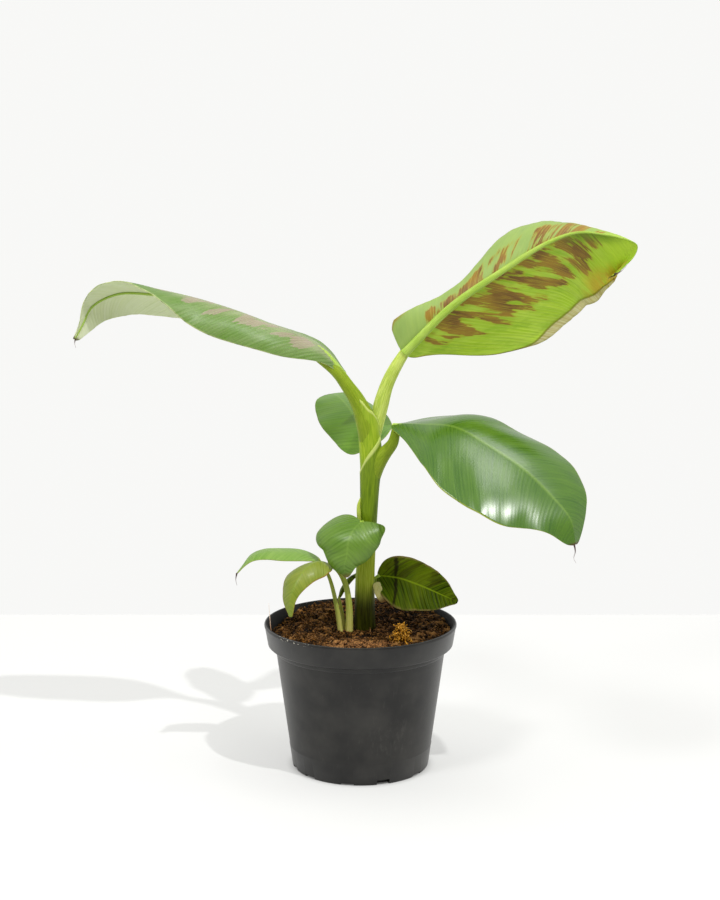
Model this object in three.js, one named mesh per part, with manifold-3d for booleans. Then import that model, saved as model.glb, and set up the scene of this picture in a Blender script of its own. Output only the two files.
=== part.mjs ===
// A young banana plant in a round nursery pot: pot, potting mix, leaning pseudostem with four big leaves,
// and a cluster of small leaves and suckers at its foot.
// Millimetres, +Z up, origin at the centre of the pot's flat underside; the front of the pot faces -Y.
import * as THREE from "three";
import { mergeVertices } from "three/addons/utils/BufferGeometryUtils.js";
import Module from "manifold-3d";

const wasm = await Module();
wasm.setup();

// Pot
const POT_HEIGHT = 130;
const RIM_RADIUS = 85;
const BAND_RADIUS = 82; // foot of the collar
const BAND_BOTTOM = 110;
const BODY_TOP_RADIUS = 75.8; // body just under the collar
const LEDGE_HEIGHT = 105; // second fine step under the collar
const FOOT_RADIUS = 60.5;
const WALL = 1.8;
const FLOOR = 2.4;
const POT_SIDES = 48;
const NOTCH_WIDTH = 11.5;
// bearing from the front in degrees, positive to the right, and height of each drainage notch
const NOTCHES = [
  [-72, 3],
  [-47, 2],
  [-11, 1.5],
  [19, 4.5],
  [55, 2],
  [91, 3],
  [127, 3],
  [163, 3],
  [199, 3],
  [235, 3],
];

// Potting mix
const SOIL_TOP = 124; // flat round the stems
const SOIL_FLAT_RADIUS = 30;
const SOIL_EDGE = 122;
const CLEARANCE = 0.3; // between pieces that touch

// Leaves
const LEAF_ROWS = 16;
const SMALL_ROWS = 10;
const THICKNESS_RATIO = 0.0105; // leaf thickness over leaf length
const STEM_SIDES = 10;

const UP = new THREE.Vector3(0, 0, 1);
const v3 = (p) => new THREE.Vector3(...p);
const radians = THREE.MathUtils.degToRad;

// Value at s (0 to 1) of a smooth curve through evenly spaced values.
function even(values, s) {
  const last = values.length - 1;
  const x = Math.min(Math.max(s, 0), 1) * last;
  const i = Math.min(Math.floor(x), last - 1);
  const q = x - i;
  const slope = (k) => {
    const a = Math.max(k - 1, 0);
    const b = Math.min(k + 1, last);
    return (values[b] - values[a]) / (b - a);
  };
  return (
    (2 * q ** 3 - 3 * q * q + 1) * values[i] +
    (q ** 3 - 2 * q * q + q) * slope(i) +
    (3 * q * q - 2 * q ** 3) * values[i + 1] +
    (q ** 3 - q * q) * slope(i + 1)
  );
}

const midline = (points) => new THREE.CatmullRomCurve3(points.map(v3), false, "centripetal");

// Moves every vertex of a geometry.
function remap(geometry, move) {
  geometry.deleteAttribute("normal");
  geometry.deleteAttribute("uv");
  const merged = mergeVertices(geometry, 1e-5);
  const position = merged.attributes.position;
  for (let i = 0; i < position.count; i++) {
    const p = move(position.getX(i), position.getY(i), position.getZ(i));
    position.setXYZ(i, p.x, p.y, p.z);
  }
  return merged;
}

// Stem: a closed tube along a curve whose radius changes at even steps of its length.
function stem({ path, radii, steps = 10, squash = 1, grow = 0, flatFoot = false }) {
  const curve = midline(path);
  const tube = new THREE.CylinderGeometry(1, 1, 1, STEM_SIDES, steps);
  return remap(tube, (x, y, z) => {
    const s = y + 0.5;
    const centre = curve.getPointAt(s);
    const along = flatFoot && s === 0 ? UP.clone() : curve.getTangentAt(s);
    const side = new THREE.Vector3(1, 0, 0).addScaledVector(along, -along.x).normalize();
    const back = new THREE.Vector3().crossVectors(side, along);
    const radius = even(radii, s) + grow;
    return centre.addScaledVector(side, x * radius).addScaledVector(back, z * (radius * squash));
  });
}

// Leaf: midrib curve, half-widths, the rise of each half at the midrib and its turn out to the margin.
// Pairs hold the right half first, then the left, seen from above and looking along the heading.
function leaf({ midrib, heading, width, rise, turn, lead, smooth, rib = 0, rows = LEAF_ROWS, columns = 8, grow = 0 }) {
  const curve = midline(midrib);
  const thickness = curve.getLength() * THICKNESS_RATIO + 2 * grow;
  const bearing = radians(heading);
  const across = new THREE.Vector3(Math.sin(bearing), -Math.cos(bearing), 0);
  const slab = new THREE.BoxGeometry(1, 1, 1, columns, rows, 1);
  return remap(slab, (x, y, z) => {
    const s = y + 0.5;
    const t = (1 - Math.cos(Math.PI * s)) / 2;
    const along = curve.getPointAt(Math.min(1, t + smooth)).sub(curve.getPointAt(Math.max(0, t - smooth)));
    along.normalize();
    const side = across.clone().addScaledVector(along, -across.dot(along)).normalize();
    const top = new THREE.Vector3().crossVectors(side, along);
    const half = (k) => {
      const q = (2 * Math.abs(x)) ** 1.7;
      const a = radians(even(rise[k], s));
      const c = radians(even(turn[k], s)) || 1e-3;
      const w = even(width[k], s) + grow;
      const sign = k === 0 ? 1 : -1;
      const out = (sign * (w * (Math.sin(a + c * q) - Math.sin(a)))) / c;
      const up = (w * (Math.cos(a) - Math.cos(a + c * q))) / c;
      const forward = lead ? even(lead[k], s) * w * q * q : 0;
      const normal = top.clone().multiplyScalar(Math.cos(a + c * q));
      normal.addScaledVector(side, -sign * Math.sin(a + c * q));
      return { out, up, forward, normal };
    };
    const middle = Math.abs(x) < 1e-6;
    const parts = middle ? [half(0), half(1)] : [half(x > 0 ? 0 : 1)];
    const normal = parts.reduce((sum, p) => sum.add(p.normal), new THREE.Vector3()).normalize();
    const drop = middle && z < 0 ? rib * (1 - s) : 0;
    return curve
      .getPointAt(t)
      .addScaledVector(side, parts[0].out)
      .addScaledVector(top, parts[0].up)
      .addScaledVector(along, parts[0].forward)
      .addScaledVector(normal, z * thickness - drop);
  });
}

// Solids and meshes
function solid(geometry) {
  const bare = geometry.index ? geometry.toNonIndexed() : geometry.clone();
  bare.deleteAttribute("normal");
  bare.deleteAttribute("uv");
  const merged = mergeVertices(bare, 1e-4);
  return new wasm.Manifold(
    new wasm.Mesh({
      numProp: 3,
      vertProperties: merged.attributes.position.array,
      triVerts: new Uint32Array(merged.index.array),
    }),
  );
}

function largest(body) {
  return body.decompose().reduce((a, b) => (b.volume() > a.volume() ? b : a));
}

function cut(body, tools) {
  return largest(tools.reduce((rest, tool) => rest.subtract(tool), body));
}

const plant = new THREE.Group();

function add(name, body, color, roughness, parent = plant) {
  const { vertProperties, triVerts } = body.getMesh();
  const geometry = new THREE.BufferGeometry();
  geometry.setAttribute("position", new THREE.Float32BufferAttribute(vertProperties, 3));
  geometry.setIndex([...triVerts]);
  geometry.computeVertexNormals();
  const material = new THREE.MeshStandardMaterial({ color, roughness, metalness: 0 });
  const mesh = new THREE.Mesh(geometry, material);
  mesh.name = name;
  parent.add(mesh);
  return mesh;
}

function lathe(profile, sides) {
  const points = profile.map(([r, z]) => new THREE.Vector2(r, z));
  return new THREE.LatheGeometry(points, sides).rotateX(Math.PI / 2);
}

// Radius of the pot's outer face at a height under the collar.
const bodyRadius = (z) => FOOT_RADIUS + ((BODY_TOP_RADIUS - FOOT_RADIUS) * z) / BAND_BOTTOM;

// Pot: tapering body, a fine ledge, and a collar that flares to a small lip
let pot = solid(
  lathe(
    [
      [0, 0],
      [FOOT_RADIUS, 0],
      [bodyRadius(20) + 0.4, 20],
      [bodyRadius(22), 22],
      [bodyRadius(LEDGE_HEIGHT) - 0.6, LEDGE_HEIGHT],
      [bodyRadius(LEDGE_HEIGHT) + 0.5, LEDGE_HEIGHT + 0.8],
      [BODY_TOP_RADIUS + 0.4, BAND_BOTTOM - 0.4],
      [BAND_RADIUS - 1, BAND_BOTTOM + 0.4],
      [BAND_RADIUS, BAND_BOTTOM + 2],
      [RIM_RADIUS - 1.2, POT_HEIGHT - 4],
      [RIM_RADIUS, POT_HEIGHT - 2.2],
      [RIM_RADIUS, POT_HEIGHT - 0.6],
      [RIM_RADIUS - 0.7, POT_HEIGHT],
      [RIM_RADIUS - 2.6, POT_HEIGHT],
      [BAND_RADIUS - 2.2, BAND_BOTTOM + 3],
      [BODY_TOP_RADIUS - WALL, BAND_BOTTOM - 1],
      [FOOT_RADIUS - WALL, FLOOR],
      [0, FLOOR],
    ],
    POT_SIDES,
  ),
);
for (const [bearing, height] of NOTCHES) {
  const block = new THREE.BoxGeometry(NOTCH_WIDTH, 12, 2 * height);
  block.translate(0, -FOOT_RADIUS, 0).rotateZ(radians(bearing));
  pot = pot.subtract(solid(block));
}
add("pot", largest(pot), 0x3c3b38, 0.45);

// Potting mix: fills the pot, level round the stems and sinking a little to the wall
const fillRadius = (z) => FOOT_RADIUS - WALL + ((BODY_TOP_RADIUS - FOOT_RADIUS) * (z - FLOOR)) / BAND_BOTTOM;
const mixTopRadius = BAND_RADIUS - 2.2 - CLEARANCE + (SOIL_EDGE - BAND_BOTTOM - 3) * 0.15;
const mix = solid(
  lathe(
    [
      [0, FLOOR + CLEARANCE],
      [fillRadius(FLOOR) - CLEARANCE - 0.4, FLOOR + CLEARANCE],
      [BODY_TOP_RADIUS - WALL - CLEARANCE - 0.5, BAND_BOTTOM - 1.5],
      [BAND_RADIUS - 2.9, BAND_BOTTOM + 3],
      [mixTopRadius - 0.3, SOIL_EDGE],
      [60, (SOIL_TOP + SOIL_EDGE) / 2],
      [SOIL_FLAT_RADIUS, SOIL_TOP],
      [0, SOIL_TOP],
    ],
    40,
  ),
);
add("potting_mix", mix, 0x4a3222, 0.95);

// Stems, each standing on the mix by a flat cut at ground level, and the leaf stalks that leave them
const GROUND = SOIL_TOP + CLEARANCE;
const STEMS = {
  pseudostem: {
    path: [[4, 0, GROUND], [4, 0, 168], [7, 0, 222], [8, 0, 250], [9, 0, 271], [8, 0, 292], [5, 0, 315]],
    radii: [9.2, 8.7, 8, 7.5, 8.3, 9.8, 9],
    steps: 14,
    flatFoot: true,
    cutBy: [],
    color: 0x7d9a2e,
  },
  petiole_left: {
    path: [[5, 0, 315.6], [-2, 0, 326], [-11, 0, 340], [-21, 1, 353], [-38, 2, 366]],
    radii: [8.6, 7.2, 5.8, 5, 4.4],
    cutBy: ["pseudostem"],
    color: 0x9dbb3f,
  },
  petiole_upper_right: {
    path: [[12, 4, 300], [18, 4, 324], [23, 3, 341], [29, 2, 354], [38, 2, 369]],
    radii: [6, 6.6, 5.8, 5.3, 5],
    cutBy: ["pseudostem", "petiole_left"],
    color: 0x9dbb3f,
  },
  petiole_lower_right: {
    path: [[9, 0, 256], [12.5, -2, 268], [16.5, -4, 276], [21.5, -6, 283], [28, -9, 292], [30, -10, 304]],
    radii: [7.1, 7.6, 7, 5.6, 4.4, 4],
    cutBy: ["pseudostem"],
    color: 0x8aa636,
  },
  petiole_back: {
    path: [[7, 5, 262], [7, 12, 272], [6, 20, 286]],
    radii: [5, 4.4, 3.6],
    steps: 6,
    cutBy: ["pseudostem", "petiole_lower_right"],
    color: 0x8aa636,
  },
  sheath_tip: {
    path: [[-1, -2, 221], [-1.5, -2.5, 230], [-0.5, -2, 240]],
    radii: [1.6, 2.4, 1],
    steps: 5,
    cutBy: ["pseudostem"],
    color: 0xc9cf7a,
  },
  petiole_heart: {
    path: [[3, -7, 214], [2, -12, 221], [1, -16, 224]],
    radii: [2.6, 2.2, 2],
    steps: 4,
    cutBy: ["pseudostem"],
    color: 0x9dbb3f,
  },
  petiole_old: {
    path: [[10, 2, 160], [13, 4, 167], [17, 4, 171]],
    radii: [2.8, 2.4, 2.2],
    steps: 4,
    cutBy: ["pseudostem"],
    color: 0x6f7a2c,
  },
  sucker_stem: {
    path: [[-10, -8, GROUND], [-10, -8, 147], [-13, -9, 166], [-19, -12, 179], [-27, -14, 186]],
    radii: [3.6, 3, 2.6, 2.4, 2.1],
    flatFoot: true,
    cutBy: ["pseudostem"],
    color: 0xaebb45,
  },
  sucker_stem_thin: {
    path: [[-17, -11, GROUND], [-21, -10, 147], [-28, -9, 174], [-36, -8, 188]],
    radii: [2.4, 2, 1.6, 1.2],
    flatFoot: true,
    cutBy: ["sucker_stem"],
    color: 0x8fae3a,
  },
  sucker_stem_small: {
    path: [[-14, -3, GROUND], [-16, -2, 138], [-19, -1, 152]],
    radii: [1.6, 1.4, 1.1],
    steps: 6,
    flatFoot: true,
    cutBy: ["sucker_stem", "sucker_stem_thin"],
    color: 0x7f9a36,
  },
};

const grown = {};
for (const [name, spec] of Object.entries(STEMS)) {
  const body = cut(solid(stem(spec)), spec.cutBy.map((other) => grown[other]));
  const wide = { ...spec, grow: CLEARANCE };
  grown[name] = solid(stem(wide));
  add(name, body, spec.color, 0.55);
}

// Leaves
const flat = [0, 0, 0, 0, 0, 0, 0];
const LEAVES = {
  leaf_upper_right: {
    midrib: [
      [37, 2, 369],
      [77, 5, 408],
      [123, 8, 440],
      [161, 12, 463],
      [186, 18, 471],
      [211, 25, 469],
      [235, 30, 463],
      [241, 32, 459],
      [239, 34, 450],
      [223, 36, 433],
    ],
    heading: 6,
    width: [[30, 25, 15, 36, 16, 6, 1.5], [3, 26, 71, 86, 67, 25, 1.5]],
    rise: [[90, 85, 108, 112, 140, 185, 180], [-60, -62, -64, -62, -60, -60, -60]],
    turn: [[0, 10, 60, 62, 60, 0, 0], [0, 0, -8, -8, -4, 0, 0]],
    lead: [[0.3, 0.05, 0, 0, 0, 0, 0], [0, 0, 0, 0.01, 0.34, 0.55, 0.4]],
    smooth: 0.2,
    rib: 5,
    color: 0x86a92c,
  },
  leaf_left: {
    midrib: [
      [-13, 0, 351],
      [-33, 2, 373],
      [-82, 8, 395],
      [-139, 14, 413],
      [-182, 14, 419],
      [-210, 12, 419],
      [-232, 10, 408],
      [-240, 8, 393],
      [-247, 6, 380],
    ],
    heading: 180,
    width: [[3, 12, 38, 46, 40, 12, 1.5], [3, 10, 40, 49, 33, 6, 1.5]],
    rise: [[10, 5, 0, -22, -28, -60, -60], [-50, -40, 10, 20, 40, 40, 40]],
    turn: [[0, 0, -10, -10, -10, 0, 0], [0, -20, -90, -95, -40, 0, 0]],
    smooth: 0.12,
    rib: 4,
    color: 0x6f9a45,
  },
  leaf_lower_right: {
    midrib: [
      [28, -10, 309],
      [51, -20, 310],
      [80, -35, 310],
      [106, -52, 298],
      [136, -70, 280],
      [159, -84, 259],
      [173, -92, 242],
      [177, -96, 222],
    ],
    heading: -35,
    width: [[3, 18, 51, 65, 55, 20, 1.5], [3, 22, 38, 46, 43, 15, 1.5]],
    rise: [[-30, -25, -20, -20, -20, -30, -30], [-20, 5, 22, 28, 28, 10, 0]],
    turn: [[0, -10, -20, -20, -20, 0, 0], [0, -10, -30, -35, -25, 0, 0]],
    smooth: 0.14,
    rib: 3,
    color: 0x3f7a1e,
  },
  leaf_back: {
    midrib: [[7, 17, 284], [0, 28, 294], [-7, 55, 307], [-15, 82, 314], [-22, 102, 317], [-27, 120, 316]],
    heading: 130,
    width: [[3, 22, 34, 32, 25, 14, 4], [4, 19, 26, 30, 26, 15, 5]],
    rise: [[20, 20, 15, 10, 5, 5, 5], [-50, -66, -50, -30, -20, -12, -5]],
    turn: [[0, 0, -20, -20, -20, 0, 0], [0, 0, -20, -20, -20, 0, 0]],
    smooth: 0.14,
    rib: 2,
    color: 0x5f8f3c,
  },
  leaf_heart: {
    midrib: [[1, -16, 224], [-6, -24, 218], [-10, -30, 210], [-12, -33, 196], [-14, -33, 188], [-12, -31, 178]],
    heading: 260,
    width: [[3, 22, 33, 36, 22, 5, 1], [3, 19, 25, 27, 15, 6, 1]],
    rise: [flat, flat],
    turn: [[0, -20, -40, -50, -50, -20, 0], [0, -20, -40, -50, -50, -20, 0]],
    lead: [[-0.3, -0.3, -0.2, -0.1, 0, 0, 0], [-0.5, -0.6, -0.3, -0.1, 0, 0, 0]],
    smooth: 0.1,
    rows: SMALL_ROWS,
    columns: 6,
    color: 0x4f8a2c,
  },
  leaf_old: {
    midrib: [[15, 4, 171], [34, 2, 169], [51, -2, 164], [70, -8, 157], [85, -12, 151]],
    heading: -18,
    width: [[2, 18, 26, 26, 18, 7, 1], [2, 15, 21, 21, 16, 6, 1]],
    rise: [[-50, -50, -55, -55, -50, -40, -30], [50, 50, 55, 50, 45, 40, 40]],
    turn: [flat, flat],
    smooth: 0.1,
    rows: SMALL_ROWS,
    columns: 6,
    color: 0x3a4a18,
  },
  leaf_sucker_front: {
    midrib: [[-27, -14, 186], [-36, -22, 190], [-47, -34, 186], [-55, -42, 176], [-60, -47, 162], [-60, -48, 147]],
    heading: 235,
    width: [[2, 18, 26, 24, 15, 4, 1], [3, 12, 16, 12, 6, 3, 1]],
    rise: [[-10, -10, -10, -10, -10, -10, -10], [-20, -20, -20, -20, -20, -20, -20]],
    turn: [[0, -30, -30, -30, -30, 0, 0], [0, -30, -40, -40, -30, 0, 0]],
    smooth: 0.1,
    rows: SMALL_ROWS,
    columns: 6,
    color: 0x7a9a3e,
  },
  leaf_sucker_left: {
    midrib: [[-36, -8, 188], [-53, -8, 194], [-70, -8, 195], [-84, -9, 195], [-96, -10, 191], [-108, -12, 177]],
    heading: 180,
    width: [[1.5, 7, 11, 12, 9, 4, 1], [1.5, 7, 12, 12, 9, 4, 1]],
    rise: [[8, 8, 8, 6, 0, -10, -10], [-10, -10, -10, -10, -10, -10, -10]],
    turn: [[0, 0, -10, -10, 0, 0, 0], [0, -10, -30, -30, -20, 0, 0]],
    smooth: 0.1,
    rows: SMALL_ROWS,
    columns: 6,
    color: 0x6f9a45,
  },
  leaf_sucker_small: {
    midrib: [[-3, 12, 171], [-9, 8, 168], [-15, 3, 161], [-19, -1, 152]],
    heading: 215,
    width: [[1, 3, 4, 4, 4, 2, 1], [1, 3, 4, 4, 3, 2, 1]],
    rise: [[-20, -20, -20, -20, -20, -20, -20], [-20, -20, -20, -20, -20, -20, -20]],
    turn: [flat, flat],
    smooth: 0.1,
    rows: 6,
    columns: 4,
    color: 0x3f5f22,
  },
  leaf_dried: {
    midrib: [[13, 6, 165], [17, 6, 159], [19, 4, 149]],
    heading: -70,
    width: [[1, 3, 4, 4, 4, 3, 2], [1, 3, 4, 5, 5, 4, 3]],
    rise: [[10, 10, 10, 10, 10, 10, 10], [-10, -10, -10, -10, -10, -10, -10]],
    turn: [flat, flat],
    smooth: 0.1,
    rows: 5,
    columns: 4,
    color: 0xc8b66a,
  },
};

const tools = Object.values(grown);
for (const [name, spec] of Object.entries(LEAVES)) {
  const body = cut(solid(leaf(spec)), tools);
  tools.push(solid(leaf({ ...spec, grow: CLEARANCE })));
  add(name, body, spec.color, 0.5);
}

export default plant;
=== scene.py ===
"""Surfaces and finishes of a young banana plant in a round nursery pot.

Metres, +Z up, the front of the pot towards -Y.  Sizes in the tables are millimetres.
"""

import math
import random
from contextlib import contextmanager

import bpy
import numpy as np
from bpy.props import FloatProperty, FloatVectorProperty, IntProperty, PointerProperty
from mathutils import Matrix, Vector, noise


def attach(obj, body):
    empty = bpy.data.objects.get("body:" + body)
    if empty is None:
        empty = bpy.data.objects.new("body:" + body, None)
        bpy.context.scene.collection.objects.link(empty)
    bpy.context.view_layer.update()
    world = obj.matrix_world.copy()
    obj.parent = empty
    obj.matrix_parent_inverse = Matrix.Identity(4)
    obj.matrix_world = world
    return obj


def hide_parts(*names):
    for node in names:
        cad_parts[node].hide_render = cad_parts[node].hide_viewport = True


bl_info = {
    "name": "Potted Banana Plant",
    "version": (1, 0, 0),
    "blender": (4, 5, 0),
    "location": "3D View > Sidebar > Banana Plant",
    "description": "Builds the surfaces and finishes of a young banana plant in a nursery pot",
    "category": "Object",
}

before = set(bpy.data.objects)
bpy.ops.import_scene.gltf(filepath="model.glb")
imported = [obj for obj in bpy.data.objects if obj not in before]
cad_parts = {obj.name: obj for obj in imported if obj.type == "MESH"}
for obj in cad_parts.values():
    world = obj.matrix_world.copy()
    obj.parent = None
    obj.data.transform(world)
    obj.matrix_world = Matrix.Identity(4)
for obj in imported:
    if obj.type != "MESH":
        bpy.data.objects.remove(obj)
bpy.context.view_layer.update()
MM = 0.001
CM = 0.01
MM_PER_CM = 10
TURN = 2 * math.pi
PROPS = "banana_plant"

# Stems and stalks: midline, radii at even steps, share of the width cut away as a channel on the upper
# side, steps along and round, and the height of the ridges along the stem
STEMS = {
    "pseudostem": dict(
        path=[[4, 0, 121], [4, 0, 168], [7, 0, 222], [8, 0, 250], [9, 0, 271], [8, 0, 292], [5, 0, 315]],
        radii=[9.4, 8.7, 8, 7.5, 8.3, 9.6, 8.4], rings=150, sides=64, ridges=0.12,
    ),
    "petiole_left": dict(
        path=[[7, -1, 288], [5, -1, 308], [-2, 0, 326], [-11, 0, 340], [-21, 1, 353], [-38, 2, 366]],
        radii=[7.5, 8.8, 7.2, 5.8, 5, 3.6], channel=0.35, rings=90,
    ),
    "petiole_upper_right": dict(
        path=[[11, 4, 290], [14, 4, 306], [18, 4, 324], [23, 3, 341], [29, 2, 354], [38, 2, 369]],
        radii=[5, 6.2, 6.6, 5.8, 5.3, 4.4], channel=0.3, rings=90,
    ),
    "petiole_lower_right": dict(
        path=[
            [8, 0.5, 240], [9, 0, 256], [12.5, -2, 268], [16.5, -4, 276], [21.5, -6, 283], [28, -9, 292],
            [31, -10, 305],
        ],
        radii=[6.9, 7.2, 7.6, 7.2, 5.8, 4.6, 3.6], channel=0.35, rings=80,
    ),
    "petiole_back": dict(
        path=[[7, 3, 256], [7, 8, 266], [7, 13, 275], [6, 21, 288]], radii=[4.5, 5, 4.4, 3], channel=0.3,
        rings=40,
    ),
    "petiole_heart": dict(
        path=[[4, -3, 208], [3, -8, 216], [2, -12, 221], [1, -17, 224]], radii=[2.8, 2.6, 2.2, 1.8],
        channel=0.3, rings=24,
    ),
    "petiole_old": dict(
        path=[[6, 0, 153], [10, 2, 160], [13, 4, 167], [17, 4, 171]], radii=[3, 2.8, 2.4, 1.8],
        channel=0.3, rings=24,
    ),
    "sucker_stem": dict(
        path=[[-10, -8, 120], [-10, -8, 147], [-13, -9, 166], [-19, -12, 179], [-28, -15, 187]],
        radii=[3.7, 3.1, 2.6, 2.4, 1.9], channel=0.3, rings=60,
    ),
    "sucker_stem_thin": dict(
        path=[[-17, -11, 120], [-21, -10, 147], [-28, -9, 174], [-37, -8, 189]], radii=[2.5, 2, 1.6, 1.1],
        channel=0.25, rings=50,
    ),
    "sucker_stem_small": dict(
        path=[[-14, -3, 120], [-16, -2, 138], [-19, -1, 153]], radii=[1.7, 1.4, 1], channel=0.2, rings=30,
    ),
}
USUAL_STEM = dict(sides=36, ridges=0.05)
STEM_FINISHES = {
    "pseudostem": "trunk",
    "petiole_left": "shaded",
    "petiole_lower_right": "shaded",
    "petiole_upper_right": "sunlit",
    "sucker_stem": "sucker",
    "sucker_stem_thin": "sucker",
    "sucker_stem_small": "sucker",
}

# Sheath margins that wrap the pseudostem: bearing from +X in degrees, foot height, margin height and
# how far the margin stands off, each at even steps from the first bearing to the last
SHEATHS = {
    "sheath_of_lower_right": dict(
        turn=(172, 372), foot=[246, 228, 205, 205, 215, 230], margin=[262, 268, 280, 289, 296, 300],
        lift=[0.3, 1.1, 1.3, 1.2, 0.9, 0.3],
    ),
    "sheath_of_left": dict(
        turn=(215, 375), foot=[300, 285, 276, 272, 272, 276], margin=[330, 328, 322, 318, 310, 290],
        lift=[0.2, 0.8, 1.1, 1.1, 1.0, 0.4],
    ),
}
SHEATH_THICKNESS = 0.6
SHEATH_DEPTH = 0.4  # how far the ends of a sheath lie in the stem
SHEATH_TIP = dict(
    path=[[-0.5, -3, 216], [-1.2, -3.6, 226], [-1.4, -3.6, 236], [0.5, -3, 243]],
    radii=[1.2, 1.9, 1.7, 0.6], rings=24, sides=24, squash=0.7,
)

FLAT = [0, 0, 0, 0, 0, 0, 0]

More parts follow.
